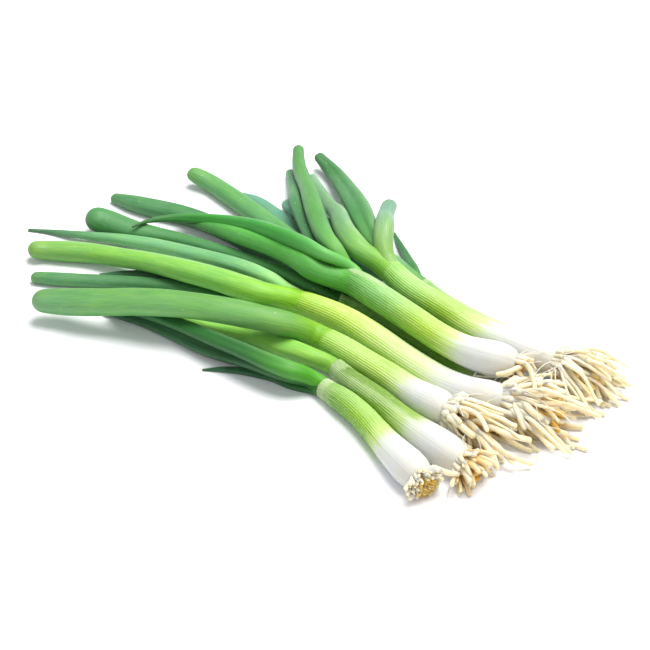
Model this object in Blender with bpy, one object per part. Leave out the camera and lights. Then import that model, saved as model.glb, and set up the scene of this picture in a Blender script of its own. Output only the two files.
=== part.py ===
"""A bunch of eight spring onions lying on a flat surface.

The root ends lie together at +X and the leaves fan out towards -X. Each onion
is a stem (the white bulb end and the sheathed shaft, grown as one), its hollow
leaves, closed at both ends, and the tuft of roots on its root plate. Metres in
the scene, +Z up, and the surface is Z = 0.

The bunch is set out as a hand drawing of it: every strand is a line with its
width, drawn as it is seen by an eye 35 degrees over the surface. lay() works
out how high each strand lies, by letting it slide away along the lines of sight
until it meets the surface or a strand that it lies over. settle() then does
what a real bunch does: stems, leaves and roots give way to each other where
they would touch.
"""

import math

import bmesh
import bpy
import numpy as np
from mathutils import Vector

MM = 0.001

# driving dimensions, mm
GAP = 0.35  # kept between neighbours
SLACK = 0.45  # more of the same, for what the facets and the bends take
STEP = 2.5  # between the points of a centreline
LEAF_BASE = 3.5  # most that a leaf's half width is where it leaves the sheath
LEAF_SHARE = {1: 0.75, 2: 0.58, 3: 0.50, 4: 0.42}  # and over the sheath's, by number of leaves
LEAF_MOST = 8.0  # half width of the fattest leaf
LEAF_FLAT_BASE, LEAF_FLAT = 0.60, 0.85  # thickness over width, at the base and on
LEAF_OPENS = 24.0  # from the sheath to the leaf's full width
LEAF_ROUNDS = 75.0  # from the sheath to the leaf's full thickness
ROOTS = 8  # on each plate: seven round it and one at its middle
ROOT_RADIUS = 1.15
PLATE_SHARE = 0.80  # root plate's radius over the bulb's end
PLATE_HEIGHT = 2.6
STEM_SIDES, LEAF_SIDES = 12, 10
OFFSET = (-29.45, 19.1, 0.05)  # from the drawing's middle to the middle of the bunch

# the drawing: its middle, what one unit of it is there in mm, and the eye
MIDDLE, UNIT = (325.0, 325.0), 0.5
EYE_RISE, EYE_TURN, EYE_REACH = math.radians(35.0), math.radians(45.0), 903.0

# each strand: its place in the pile (a strand lies over those of a lower
# number), how much further off than its stem a leaf starts, how it holds its end
# up (from and to, as shares of its length, and the height in mm), and its line
# from the root plate or the sheath, as (across, down, width) in drawing units
BUNCH = {
    "a": {
        "stem": (4.0, 0, None, [(421, 480, 33), (413, 471, 37), (399, 457, 34.5), (381, 437.5, 28.5), (359, 413, 26), (341, 399, 24.5), (324, 388, 20)]),
        "leaf_1": (2.4, -2.5, None, [(324, 386, 14), (302, 376, 18), (275, 366, 18), (246, 353, 16), (220, 342, 15), (195, 331.5, 14), (165, 320, 13), (135, 311, 12), (112, 306, 9)]),
        "leaf_2": (2.0, 2.5, None, [(321, 392, 9), (290, 378.5, 13), (258, 364, 16), (226, 352.5, 17), (200, 343, 17), (176, 333, 15), (150, 322.5, 13), (125, 314, 11), (104, 309, 8)]),
        "leaf_3": (0.5, 5.0, None, [(318, 394, 6), (300, 387, 8), (280, 379, 8.5), (258, 373.3, 8), (236, 369.8, 7), (217, 369.2, 5), (202, 370, 2)]),
        "roots": (11, 0.55),
    },
    "b": {
        "stem": (3.0, 0, None, [(464, 463, 32), (452, 455, 37), (434, 443, 36), (414, 429, 31), (395, 415, 28), (375, 399, 26), (355, 384, 23), (338, 370, 20)]),
        "leaf_1": (3.0, 0, None, [(336, 368, 16), (318, 359.5, 19), (297, 350, 21.5), (268, 340, 20.5), (240, 332, 17.5), (214, 326, 13.5), (185, 317, 13), (155, 309, 12), (128, 303, 9)]),
        "roots": (17, 0.60),
    },
    "c": {
        "stem": (6.0, 0, None, [(450, 412, 33), (441, 408, 37), (426, 401, 36), (409, 391, 31.5), (390, 378, 29), (368.5, 364.5, 27), (343, 349, 26), (320, 337.5, 25.5)]),
        "leaf_1": (5.0, -1.0, (0.45, 0.8, 12), [(318, 337, 18), (298, 329, 24.5), (270, 320.5, 25.5), (240, 313.5, 26.5), (200, 307, 26.5), (150, 304, 28), (100, 302.5, 28), (60, 301.5, 27), (32, 300, 22)]),
        "leaf_2": (3.4, 4.5, None, [(318, 334, 8), (290, 326, 11), (262, 315, 12), (235, 303, 13), (210, 294, 13.5), (180, 288, 14), (150, 284.3, 14), (100, 281.5, 13.5), (60, 279.3, 14), (31, 277.3, 12)]),
        "roots": (34, 0.50),
    },
    "d": {
        "stem": (5.0, 0, None, [(507, 402, 32), (492, 399.5, 35), (472, 395, 34.5), (447, 385, 31.5), (425, 372.5, 30.5), (402, 357.5, 29.5), (372, 337, 29.5), (344, 320, 28), (318, 309, 26.5), (297, 301, 25)]),
        "leaf_1": (6.0, -1.0, (0.8, 1.0, 8), [(295, 301, 17), (275, 296.5, 24), (250, 290.5, 24.5), (222, 281.5, 24), (190, 273, 23), (150, 263.5, 20.5), (128, 259.5, 19.5), (98, 254, 20), (60, 251, 21), (28, 249, 18)]),
        "leaf_2": (5.6, 4.0, None, [(297, 293, 8), (275, 282, 13), (250, 270.5, 15.5), (225, 262.5, 15.5), (200, 256, 15), (150, 244.3, 13.5), (100, 236.3, 9.5), (60, 232.5, 6), (28, 230, 3)]),
        "roots": (32, 0.45),
    },
    "e": {
        "stem": (6.0, 0, None, [(513, 366, 32), (499, 361, 36), (481, 356.5, 35), (461, 349, 30.5), (431, 332, 28.5), (411, 318.5, 28.5), (390, 305, 28.5), (370, 292.5, 28.5), (352, 281, 27.5)]),
        "leaf_1": (7.0, -4.0, None, [(349, 266.5, 8.5), (334, 259, 11), (315, 249.5, 14), (302, 243.5, 15), (280, 235, 15), (258, 227.5, 14.5), (238, 223, 12.5), (218, 220.3, 11), (198, 219, 9.5), (178, 218.2, 8), (160, 219.5, 6), (146, 222.5, 4), (132, 227, 2)]),
        "leaf_2": (6.2, -3.0, None, [(352, 284.5, 18), (334, 277.5, 21.5), (312, 267, 20.5), (290, 256.5, 19), (262, 246, 17), (236, 238, 14.5), (214, 231.5, 10.5), (199, 228, 7), (187, 225.5, 3)]),
        "leaf_3": (5.0, 0, (0.6, 1.0, 12), [(347, 263, 11), (330, 246, 17.5), (318, 224, 19.5), (309, 202, 19), (302, 180, 15.5), (298.5, 162, 13), (298.5, 147, 11)]),
        "leaf_4": (3.2, 4.0, (0.7, 1.0, 9), [(345, 268, 9), (322, 256, 14), (298, 243, 18), (272, 226, 20), (252, 211.5, 20), (236, 200, 19), (218, 188, 18), (202, 178.5, 17), (188, 171.5, 14)]),
        "roots": (20, 0.45),
    },
    "f": {
        "stem": (5.2, 0, None, [(557, 363, 32), (541, 357, 36), (518, 348, 36), (493, 338.5, 32), (470, 327, 29), (443.5, 310, 27.5), (419, 295, 27), (402, 282, 26), (388, 268, 25)]),
        "leaf_1": (5.4, -2.0, None, [(383, 263, 16), (367, 252, 22), (350, 237, 21.5), (337, 219, 18), (327, 203, 14), (318, 188, 11), (312, 176, 8)]),
        "leaf_2": (5.0, -3.0, (0.0, 0.45, 24), [(390, 262, 14), (386, 250, 20), (383, 238, 20.5), (383, 225, 19.5), (386, 213, 16), (390.5, 203, 15.5)]),
        "leaf_3": (4.4, 4.0, (0.6, 1.0, 9), [(384, 258, 9), (375, 243, 15), (366, 226, 22), (358, 208, 24), (348, 192, 20.5), (338, 178, 17), (327, 165.5, 13.5), (317, 154.5, 10)]),
        "roots": (27, 0.50),
    },
    "g": {
        "stem": (1.5, 0, None, [(574, 366, 31), (560, 357, 34), (540, 350, 33), (515, 341, 29), (490, 331, 26), (465, 319, 25), (442, 305, 24), (424, 290, 22)]),
        "leaf_1": (1.2, 3.0, None, [(422, 285, 9), (414, 270, 9), (406, 255, 8), (399, 243, 6), (394, 233, 3)]),
        "leaf_2": (1.6, -1.5, None, [(418, 284, 10), (396, 264, 13), (368, 247, 16), (338, 232, 18), (312, 220, 19), (295, 210, 17), (286, 203, 13)]),
        "leaf_3": (1.4, -3.0, None, [(414, 290, 9), (386, 275, 12), (352, 259, 13), (322, 243, 13.5), (296, 226, 14), (272, 210.5, 13), (252, 200, 11), (240, 196, 7)]),
        "roots": (25, 0.50),
    },
    "h": {
        "stem": (1.0, 0, None, [(500, 392, 30), (486, 385, 31), (468, 374, 27), (440, 355, 22), (412, 337, 21), (385, 321, 20), (360, 309, 19), (343, 302, 17)]),
        "leaf_1": (4.0, -2.5, (0.8, 1.0, 10), [(343, 301, 13), (322, 291, 14), (300, 281, 13.5), (279, 271, 13), (255, 262, 12), (230, 253.5, 11.5), (203, 245.5, 12), (178, 239, 13), (150, 234, 17), (126, 229, 22), (104, 223, 25), (86, 221, 25)]),
        "leaf_2": (3.0, 2.5, None, [(341, 299, 9), (318, 284, 12), (290, 268, 13), (262, 253, 14), (236, 238, 15), (208, 224, 16), (180, 214.5, 17), (154, 208.5, 16.5), (130, 202.5, 14), (112, 197.5, 9)]),
        "leaf_3": (3.6, -1.0, None, [(344, 296, 8), (328, 270, 11), (314, 243, 13), (303, 215, 13), (295, 190, 12), (290, 172, 9.5)]),
        "leaf_4": (2.2, 2.0, None, [(342, 304, 8), (318, 299, 10), (290, 294, 12), (260, 289, 13), (230, 283.5, 13), (200, 279, 13), (170, 276, 12), (140, 274.3, 9), (118, 274, 6), (99, 275, 3)]),
        "roots": (18, 0.40),
    },
}

STEM_COLOUR = (0.70, 0.80, 0.45, 1.0)
ROOT_COLOUR = (0.84, 0.74, 0.52, 1.0)
LEAF_COLOURS = [(0.20, 0.45, 0.10, 1.0), (0.14, 0.36, 0.12, 1.0), (0.24, 0.50, 0.18, 1.0), (0.10, 0.30, 0.14, 1.0)]


# ------------------------------------------------------------------ centrelines


def unit(v):
    v = np.asarray(v, float)
    return v / max(float(np.linalg.norm(v)), 1e-9)


def spline(points, step):
    """A smooth curve through the points, as a row of points about a step apart.

    The last column is a width, which never swings past its own values.
    """
    y = np.array(points, float)
    s = np.concatenate([[0.0], np.cumsum(np.linalg.norm(np.diff(y[:, :-1], axis=0), axis=1))])
    n, h = len(s), np.diff(s)
    m, b = np.zeros((n, n)), np.zeros(y.shape)
    m[0, 0] = m[-1, -1] = 1.0
    for i in range(1, n - 1):
        m[i, i - 1], m[i, i], m[i, i + 1] = h[i - 1], 2.0 * (h[i - 1] + h[i]), h[i]
        b[i] = 6.0 * ((y[i + 1] - y[i]) / h[i] - (y[i] - y[i - 1]) / h[i - 1])
    c = np.linalg.solve(m, b)
    u = np.linspace(0.0, s[-1], int(round(s[-1] / step)) + 1)
    k = np.clip(np.searchsorted(s, u, side="right") - 1, 0, n - 2)
    t, w = (u - s[k])[:, None], h[k][:, None]
    out = (c[k + 1] - c[k]) / (6 * w) * t**3 + c[k] / 2 * t**2
    out += ((y[k + 1] - y[k]) / w - w * (2 * c[k] + c[k + 1]) / 6) * t + y[k]
    slope = np.gradient(y[:, -1], s)
    slope[[0, -1]] = 0.0
    q, hk = (u - s[k]) / h[k], h[k]
    out[:, -1] = (1 + 2 * q) * (1 - q) ** 2 * y[k, -1] + q * (1 - q) ** 2 * hk * slope[k]
    out[:, -1] += q * q * (3 - 2 * q) * y[k + 1, -1] + q * q * (q - 1) * hk * slope[k + 1]
    return out


def along(points):
    return np.concatenate([[0.0], np.cumsum(np.linalg.norm(np.diff(points, axis=0), axis=1))])


def smoothstep(x):
    x = np.clip(x, 0.0, 1.0)
    return x * x * (3.0 - 2.0 * x)


def tangents(points):
    t = np.gradient(points, axis=0)
    return t / np.maximum(np.linalg.norm(t, axis=1, keepdims=True), 1e-9)


def chance(*key):
    """A fixed number from 0 to 1 for each key."""
    x = math.sin(sum((i + 1) * 12.9898 * (k + 1.37) for i, k in enumerate(key))) * 43758.5453
    return x - math.floor(x)


def plate_frame(stem):
    """Centre, outward axis and two directions across the root plate."""
    axis = -tangents(stem)[0]
    across = unit(np.cross(axis, (0.0, 0.0, 1.0)))
    return stem[0], axis, across, np.cross(across, axis)


def root_route(stem, radius, onion, k, length, splay):
    """One root: out of the plate, spreading, then drooping to the surface."""
    centre, axis, across, up = plate_frame(stem)
    middle = k == ROOTS - 1
    angle = 2.0 * math.pi * (k + 0.5) / (ROOTS - 1) + 0.35 * onion
    radial = math.cos(angle) * across + math.sin(angle) * up
    out = 0.0 if middle else 0.66 * radius * PLATE_SHARE
    p = centre + axis * (GAP + PLATE_HEIGHT * (1.0 if middle else 0.8)) + radial * out
    way = unit(axis + (0.1 if middle else 1.1) * radial)
    aim = unit(axis + (0.0 if middle else splay * (0.6 + 0.8 * chance(onion, k))) * radial)
    length = length * (0.75 + 0.5 * chance(k, onion + 3))
    route = [p]
    for _ in range(max(3, int(round(length / STEP)))):
        way = unit(way + 0.30 * (aim - way) + np.array([0.0, 0.0, -0.07]))
        p = p + way * STEP
        p[2] = max(p[2], ROOT_RADIUS + 0.3)
        way = unit(p - route[-1])
        route.append(p)
    return np.array(route)


class Strand:
    """One stem, leaf or root: its centreline, half widths and flatness."""

    def __init__(self, onion, kind, name, points, width, flat):
        self.onion, self.kind, self.name = onion, kind, name
        self.points, self.width, self.flat = points, width, flat


def eye():
    """Where the drawing is seen from, and its directions: towards the eye, across and up."""
    c, s = math.cos(EYE_TURN), math.sin(EYE_TURN)
    back = np.array([s * math.cos(EYE_RISE), -c * math.cos(EYE_RISE), math.sin(EYE_RISE)])
    right = np.array([c, s, 0.0])
    return np.array([0.0, 0.0, 15.0]) + EYE_REACH * back, back, right, np.cross(back, right)


def drawn_widths(s, place, back):
    """Half widths in mm of a strand at its present distance, and its flatness."""
    half = 0.5 * s.drawn * (-(s.points - place) @ back) * UNIT / EYE_REACH
    flat = np.ones(len(half))
    if s.kind == "leaf":
        flat = LEAF_FLAT_BASE + (LEAF_FLAT - LEAF_FLAT_BASE) * smoothstep(along(s.points) / LEAF_ROUNDS)
        m = np.cross(tangents(s.points), s.sight)
        m /= np.linalg.norm(m, axis=1, keepdims=True)
        half = np.minimum(half / np.sqrt(m[:, 0] ** 2 + m[:, 1] ** 2 + (flat * m[:, 2]) ** 2), LEAF_MOST)
    return half, flat


def smooth_run(x, k=0.45):
    """A run of numbers with its short waves taken down, its ends kept."""
    y = x.copy()
    if len(x) > 4:
        y[2:-2] = x[2:-2] + k * ((-x[:-4] + 4 * x[1:-3] + 4 * x[3:-1] - x[4:]) / 6 - x[2:-2])
        y[1] += 0.6 * k * (0.5 * (y[0] + y[2]) - x[1])
        y[-2] += 0.6 * k * (0.5 * (y[-1] + y[-3]) - x[-2])
    for m in (2, 3):
        if len(x) > 4 * m:
            z = y.copy()
            y[2 * m : -2 * m] = z[2 * m : -2 * m] + k * ((-z[: -4 * m] + 4 * z[m : -3 * m] + 4 * z[3 * m : -m] - z[4 * m :]) / 6 - z[2 * m : -2 * m])
    y[0] += 0.3 * k * (2 * y[1] - y[2] - y[0])
    y[-1] += 0.3 * k * (2 * y[-2] - y[-3] - y[-1])
    return y


def lay(rounds=1000):
    """The drawn strands at their heights: each rests on the surface, or on strands lower in the pile."""
    place, back, right, up = eye()
    strands, spans, n = [], [], 0
    for number, (letter, routes) in enumerate(BUNCH.items()):
        for name, route in routes.items():
            if name == "roots":
                continue
            order, start, hold, line = route
            drawn = spline(line, 9.0)
            s = Strand(number, name[:4], f"onion_{letter}_{name}", None, None, None)
            s.order, s.starts, s.drawn = order, start, drawn[:, 2]
            off = (drawn[:, :2] - MIDDLE) * UNIT
            s.sight = off[:, :1] * right - off[:, 1:2] * up - EYE_REACH * back
            s.sight /= np.linalg.norm(s.sight, axis=1, keepdims=True)
            share = np.linspace(0.0, 1.0, len(drawn))
            s.hold = np.zeros(len(drawn)) if hold is None else hold[2] * np.clip((share - hold[0]) / (hold[1] - hold[0]), 0.0, 1.0)
            strands.append(s)
            spans.append(slice(n, n + len(drawn)))
            n += len(drawn)
    sight = np.concatenate([s.sight for s in strands])
    hold = np.concatenate([s.hold for s in strands])
    own = np.concatenate([np.full(len(s.drawn), i) for i, s in enumerate(strands)])
    order = np.concatenate([np.full(len(s.drawn), s.order) for s in strands])
    onion = np.concatenate([np.full(len(s.drawn), s.onion) for s in strands])
    stem = np.concatenate([np.full(len(s.drawn), s.kind == "stem") for s in strands])
    stem_end = {s.onion: span.stop - 1 for s, span in zip(strands, spans) if s.kind == "stem"}
    far = (place[2] - 6.0) / -sight[:, 2]
    for turn in range(rounds):
        points = place + sight * far[:, None]
        if turn % 10 == 0:
            width, flat = np.zeros(n), np.ones(n)
            for s, span in zip(strands, spans):
                s.points = points[span]
                half, flat[span] = drawn_widths(s, place, back)
                if s.kind == "leaf":
                    narrow = np.minimum(half, LEAF_BASE)
                    half = narrow + (half - narrow) * smoothstep(along(s.points) / LEAF_OPENS)
                width[span] = half
            d = points[:, None, :] - points[None, :, :]
            near = np.einsum("ijk,ijk->ij", d, d) < (width[:, None] + width[None, :] + 8.0) ** 2
            near &= (order[:, None] > order[None, :]) & ~((onion[:, None] == onion[None, :]) & (stem[:, None] != stem[None, :]))
            i, j = np.nonzero(near)
        most = (place[2] - np.maximum(width * flat, hold)) / -sight[:, 2]
        far = np.minimum(far + (0.25 if turn < rounds * 0.8 else 0.08), most)
        for s, span in zip(strands, spans):
            far[span] = np.minimum(most[span] + smooth_run(far[span] - most[span]), most[span])
        for s, span in zip(strands, spans):
            if s.kind == "leaf":
                begins = far[stem_end[s.onion]] + s.starts
                far[span.start] = begins
                far[span.start + 1] = 0.6 * far[span.start + 1] + 0.4 * begins
        points = place + sight * far[:, None]
        d = points[i] - points[j]
        dist = np.linalg.norm(d, axis=1) + 1e-9
        lean = (d[:, 2] / dist) ** 2
        need = width[i] * np.sqrt(1 - lean + lean * flat[i] ** 2) + width[j] * np.sqrt(1 - lean + lean * flat[j] ** 2) + 0.6
        short = np.maximum(need - dist, 0.0)
        nearer, further = np.zeros(n), np.zeros(n)
        np.maximum.at(nearer, i, short)
        np.maximum.at(further, j, short)
        far = np.minimum(far - 0.45 * nearer + 0.25 * further, most)
    points = place + sight * far[:, None]
    for s, span in zip(strands, spans):
        s.points = points[span]
        s.width, s.flat = drawn_widths(s, place, back)
    return strands


def lay_out():
    """Every strand at its place, with its roots, and with each leaf begun at the end of its sheath."""
    drawn = lay()
    strands = []
    for number, (letter, routes) in enumerate(BUNCH.items()):
        mine = [s for s in drawn if s.onion == number]
        stem = spline(np.column_stack([mine[0].points, mine[0].width]), STEP)
        strands.append(Strand(number, "stem", mine[0].name, stem[:, :3], stem[:, 3], np.ones(len(stem))))
        top, way = stem[-1, :3], tangents(stem[:, :3])[-1]
        for s in mine[1:]:
            aside = s.points[0] - top
            aside -= way * aside.dot(way)
            reach = 3.2 if len(mine) > 2 else 0.0
            base = top + way * (GAP + 0.15) + unit(aside) * min(reach, float(np.linalg.norm(aside)))
            row = [(*base, s.width[0]), (*(base + way * 7.0), s.width[1])]
            row += [(*p, w) for p, w in zip(s.points, s.width) if np.linalg.norm(p - base) > 15.0]
            leaf = spline(row, STEP)
            narrow = np.minimum(leaf[:, 3], min(LEAF_BASE, LEAF_SHARE[len(mine) - 1] * stem[-1, 3]))
            here = along(leaf[:, :3])
            width = narrow + (leaf[:, 3] - narrow) * smoothstep(here / LEAF_OPENS)
            flat = LEAF_FLAT_BASE + (LEAF_FLAT - LEAF_FLAT_BASE) * smoothstep(here / LEAF_ROUNDS)
            strands.append(Strand(number, "leaf", s.name, leaf[:, :3], width, flat))
        length, splay = routes["roots"]
        for k in range(ROOTS):
            route = root_route(stem[:, :3], stem[0, 3], number, k, length, splay)
            width = np.full(len(route), ROOT_RADIUS) * (0.9 + 0.2 * chance(k, number, 5))
            strands.append(Strand(number, "root", f"onion_{letter}_root_{k}", route, width, np.ones(len(route))))
    return strands


def settle(strands, rounds=160):
    """Moves the centrelines apart wherever two strands, or a strand and the surface, would meet."""
    spans, n = [], 0
    for s in strands:
        spans.append(slice(n, n + len(s.points)))
        n += len(s.points)
    p = np.concatenate([s.points for s in strands])
    start = p.copy()
    width = np.concatenate([s.width for s in strands])
    flat = np.concatenate([s.flat for s in strands])
    own = np.concatenate([np.full(len(s.points), i) for i, s in enumerate(strands)])
    onion = np.concatenate([np.full(len(s.points), s.onion) for s in strands])
    kind = np.concatenate([np.full(len(s.points), "slr".index(s.kind[0])) for s in strands])
    place = np.concatenate([along(s.points) for s in strands])
    left = np.concatenate([along(s.points)[-1] - along(s.points) for s in strands])
    heavy = np.where(kind == 0, 0.15, 1.0)  # a stem gives way less than a leaf
    slack = np.where(kind == 2, 0.25, 0.5 * SLACK)
    tops = {s.onion: (spans[i], s) for i, s in enumerate(strands) if s.kind == "stem"}
    for turn in range(rounds):
        if turn % 8 == 0:
            d = p[:, None, :] - p[None, :, :]
            near = np.einsum("ijk,ijk->ij", d, d) < (width[:, None] + width[None, :] + 5.0) ** 2
            near &= own[:, None] < own[None, :]
            i, j = np.nonzero(near)
            same = onion[i] == onion[j]
            skip = same & (kind[i] == 0) & (kind[j] == 1) & ((left[i] < 9.0) | (place[j] < 7.0))
            skip |= same & (kind[i] == 0) & (kind[j] == 2) & ((place[i] < 12.0) & (place[j] < 12.0))
            skip |= same & (kind[i] == 2) & (kind[j] == 2) & ((place[i] < 4.0) | (place[j] < 4.0))
            i, j = i[~skip], j[~skip]
        d = p[i] - p[j]
        dist = np.linalg.norm(d, axis=1) + 1e-9
        way = d / dist[:, None]
        up = way[:, 2] ** 2
        need = width[i] * np.sqrt(1 - up + up * flat[i] ** 2) + width[j] * np.sqrt(1 - up + up * flat[j] ** 2)
        need += GAP + slack[i] + slack[j]
        short = np.maximum(need - dist, 0.0)
        hit = short > 0
        a, b = i[hit], j[hit]
        force = (short[hit] * 0.5)[:, None] * way[hit]
        share = (heavy[a] / (heavy[a] + heavy[b]))[:, None]
        move, count = np.zeros_like(p), np.zeros(n)
        np.add.at(move, a, force * 2 * share)
        np.add.at(move, b, -force * 2 * (1 - share))
        np.add.at(count, a, 1.0)
        np.add.at(count, b, 1.0)
        move /= np.maximum(count, 1.0)[:, None] ** 0.5
        for span, s in zip(spans, strands):
            m = move[span]
            for _ in range(3 if s.kind != "root" else 1):  # a strand bends as a whole, not at one point
                m = np.concatenate([m[:1], 0.25 * m[:-2] + 0.5 * m[1:-1] + 0.25 * m[2:], m[-1:]])
            q = p[span] + 0.8 * m
            if turn < rounds * 0.6:
                bend = np.zeros_like(q)
                bend[1:-1] = 0.5 * (q[:-2] + q[2:]) - q[1:-1]
                rest = np.zeros_like(q)
                o = start[span]
                rest[1:-1] = 0.5 * (o[:-2] + o[2:]) - o[1:-1]
                q = q + 0.3 * (bend - rest)
            low = s.width * s.flat + 0.05
            q[:, 2] = np.maximum(q[:, 2], low)
            if s.kind == "root":
                q[0] = start[span][0]
                q[1] = 0.5 * (q[1] + start[span][1])
            if s.kind == "leaf":
                stem_span, stem = tops[s.onion]
                top = p[stem_span][-1]
                axis = tangents(p[stem_span])[-1]
                for k in range(3):
                    off = q[k] - top
                    ahead = GAP + 0.15 + k * 2.2
                    lie = off - axis * off.dot(axis)
                    most = max(0.5, stem.width[-1] - 0.55 * s.width[0] + k * 0.8)
                    size = float(np.linalg.norm(lie))
                    if size > most:
                        lie *= most / size
                    reach = off.dot(axis) if k else ahead
                    q[k] = top + axis * max(reach, ahead) + lie
            p[span] = q
    for span, s in zip(spans, strands):
        s.points = p[span] - np.array(OFFSET)
    return strands


# ------------------------------------------------------------------------ solids


def material(name, colour, roughness):
    mat = bpy.data.materials.new(name)
    mat.use_nodes = True
    shader = mat.node_tree.nodes["Principled BSDF"]
    shader.inputs["Base Color"].default_value = colour
    shader.inputs["Roughness"].default_value = roughness
    shader.inputs["Metallic"].default_value = 0.0
    return mat


def add_object(name, bm, colour, roughness):
    bmesh.ops.recalc_face_normals(bm, faces=bm.faces)
    mesh = bpy.data.meshes.new(name)
    bm.to_mesh(mesh)
    bm.free()
    mesh.shade_smooth()
    obj = bpy.data.objects.new(name, mesh)
    bpy.context.scene.collection.objects.link(obj)
    obj.data.materials.append(material(name, colour, roughness))
    return obj


def at(points, values, s):
    """The centreline and half widths at the distances s along it."""
    here = along(points)
    line = np.stack([np.interp(s, here, points[:, c]) for c in range(3)], 1)
    return line, [np.interp(s, here, v) for v in values]


def frames(line):
    """Two directions across each point of a line, turning as little as they can."""
    t = tangents(line)
    side = unit(np.cross(t[0], (0.0, 0.0, 1.0)))
    out = []
    for k in range(len(line)):
        side = unit(side - t[k] * side.dot(t[k]))
        out.append((side, np.cross(side, t[k])))
    return out


def tube(bm, line, width, flat, sides, first_way=None):
    """A closed tube with one ring at each point of the line and a flat face at each end."""
    rings = []
    for k, (u, v) in enumerate(frames(line)):
        if k == 0 and first_way is not None:
            u = unit(u - first_way * u.dot(first_way))
            v = np.cross(u, first_way)
        ring = []
        for j in range(sides):
            angle = 2.0 * math.pi * j / sides
            off = width[k] * (math.cos(angle) * u + math.sin(angle) * v)
            if not (k == 0 and first_way is not None):
                off[2] *= flat[k]
            else:
                off -= (1.0 - flat[k]) * v * off.dot(v)
            ring.append(bm.verts.new((line[k] + off) * MM))
        rings.append(ring)
    for low, high in zip(rings, rings[1:]):
        for j in range(sides):
            bm.faces.new((low[j], low[(j + 1) % sides], high[(j + 1) % sides], high[j]))
    bm.faces.new(list(reversed(rings[0])))
    bm.faces.new(rings[-1])


def stem_solid(s):
    """Rounded under the bulb, and drawn in a little at the top of the sheath."""
    length = along(s.points)[-1]
    places = np.concatenate([[0.0, 1.6, 4.5], np.linspace(10.0, length - 3.0, int(length / 9.5)), [length]])
    line, (width,) = at(s.points, [s.width], places)
    width = width * np.interp(places, [0.0, 1.6, 4.5, length - 3.0, length], [0.74, 0.92, 1.0, 1.0, 0.93])
    bm = bmesh.new()
    tube(bm, line, width, np.ones(len(line)), STEM_SIDES, tangents(s.points)[0])
    return add_object(s.name, bm, STEM_COLOUR, 0.35)


def leaf_solid(s, way, number):
    """A hollow leaf as a closed form with a rounded tip."""
    length = along(s.points)[-1]
    end = float(s.width[-1])
    places = np.concatenate([[0.0, 4.0], np.linspace(11.0, length - end, max(4, int(length / 12.5))), [length - 0.4 * end, length]])
    line, (width, flat) = at(s.points, [s.width, s.flat], places)
    width[-2] = 0.88 * end
    width[-1] = 0.45 * end
    bm = bmesh.new()
    tube(bm, line, width, flat, LEAF_SIDES if max(s.width) > 3.2 else 8, way)
    return add_object(s.name, bm, LEAF_COLOURS[number % len(LEAF_COLOURS)], 0.4)


def grow(bm, face, line, radii):
    """Draws a face out along a line, so that a root grows out of the plate."""
    face.normal_update()
    way, centre = face.normal.copy(), face.calc_center_median()
    corners = [(loop.vert.co.copy(), loop.vert.co - centre) for loop in face.loops]
    corners = [(co, (off - way * off.dot(way)).normalized()) for co, off in corners]
    for k, t in enumerate(tangents(line)):
        face = bmesh.ops.extrude_discrete_faces(bm, faces=[face])["faces"][0]
        turn = way.rotation_difference(Vector(t))
        way = Vector(t)
        moved = []
        for loop in face.loops:
            _, off = min(corners, key=lambda c: (c[0] - loop.vert.co).length)
            off = turn @ off
            moved.append((loop.vert, Vector(line[k] * MM) + off * radii[k] * MM, off))
        for vert, co, _ in moved:
            vert.co = co
        corners = [(co, off) for _, co, off in moved]


def root_solid(letter, stem, roots):
    """The root plate, a low dome under the bulb, with its roots drawn out of its faces."""
    centre, axis, across, up = plate_frame(stem.points)
    radius = float(stem.width[0]) * PLATE_SHARE
    around = ROOTS - 1
    bm = bmesh.new()
    rings = []
    for high, share in ((GAP + 0.05, 0.86), (GAP + 1.4, 1.0), (GAP + PLATE_HEIGHT, 0.42)):
        ring = []
        for j in range(around):
            angle = 2.0 * math.pi * j / around + 0.35 * stem.onion
            off = share * radius * 0.9 * (math.cos(angle) * across + math.sin(angle) * up)
            ring.append(bm.verts.new((centre + axis * high + off) * MM))
        rings.append(ring)
    for low, high in zip(rings, rings[1:]):
        for j in range(around):
            k = (j + 1) % around
            bm.faces.new((low[j], low[k], high[k], high[j]))
    bm.faces.new(list(reversed(rings[0])))
    top = bm.faces.new(rings[-1])
    bmesh.ops.recalc_face_normals(bm, faces=bm.faces)
    bm.faces.ensure_lookup_table()
    slopes = [bm.faces[around + j] for j in range(around)]
    for face, s in zip([*slopes, top], roots):
        length = along(s.points)[-1]
        places = np.linspace(0.0, length, max(4, int(round(length / 6.0)) + 1))[1:] if length > 6 else np.array([0.5 * length, length])
        line, (width,) = at(s.points, [s.width], np.concatenate([[0.9], places]))
        width = width * np.interp(np.arange(len(width)), [0, len(width) - 1.01, len(width) - 1], [1.0, 1.0, 0.7])
        grow(bm, face, line, width)
    return add_object(f"onion_{letter}_roots", bm, ROOT_COLOUR, 0.55)


def main():
    for obj in list(bpy.data.objects):
        bpy.data.objects.remove(obj, do_unlink=True)
    strands = settle(lay_out())
    number = 0
    for onion, letter in enumerate(BUNCH):
        mine = [s for s in strands if s.onion == onion]
        stem = mine[0]
        stem_solid(stem)
        way = tangents(stem.points)[-1]
        for s in mine:
            if s.kind == "leaf":
                leaf_solid(s, way, number)
                number += 1
        root_solid(letter, stem, [s for s in mine if s.kind == "root"])
    bpy.context.view_layer.update()
    return strands


strands = main()
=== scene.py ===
"""The look of a bunch of eight spring onions, built round its fixed frame.

Every stem, leaf and root tuft is a detailed skin in the place of its plain
solid. The drawing of the bunch and the two steps that lay it down are the same
as in the model, so each skin lies where its solid lies.
"""

import math

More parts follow.
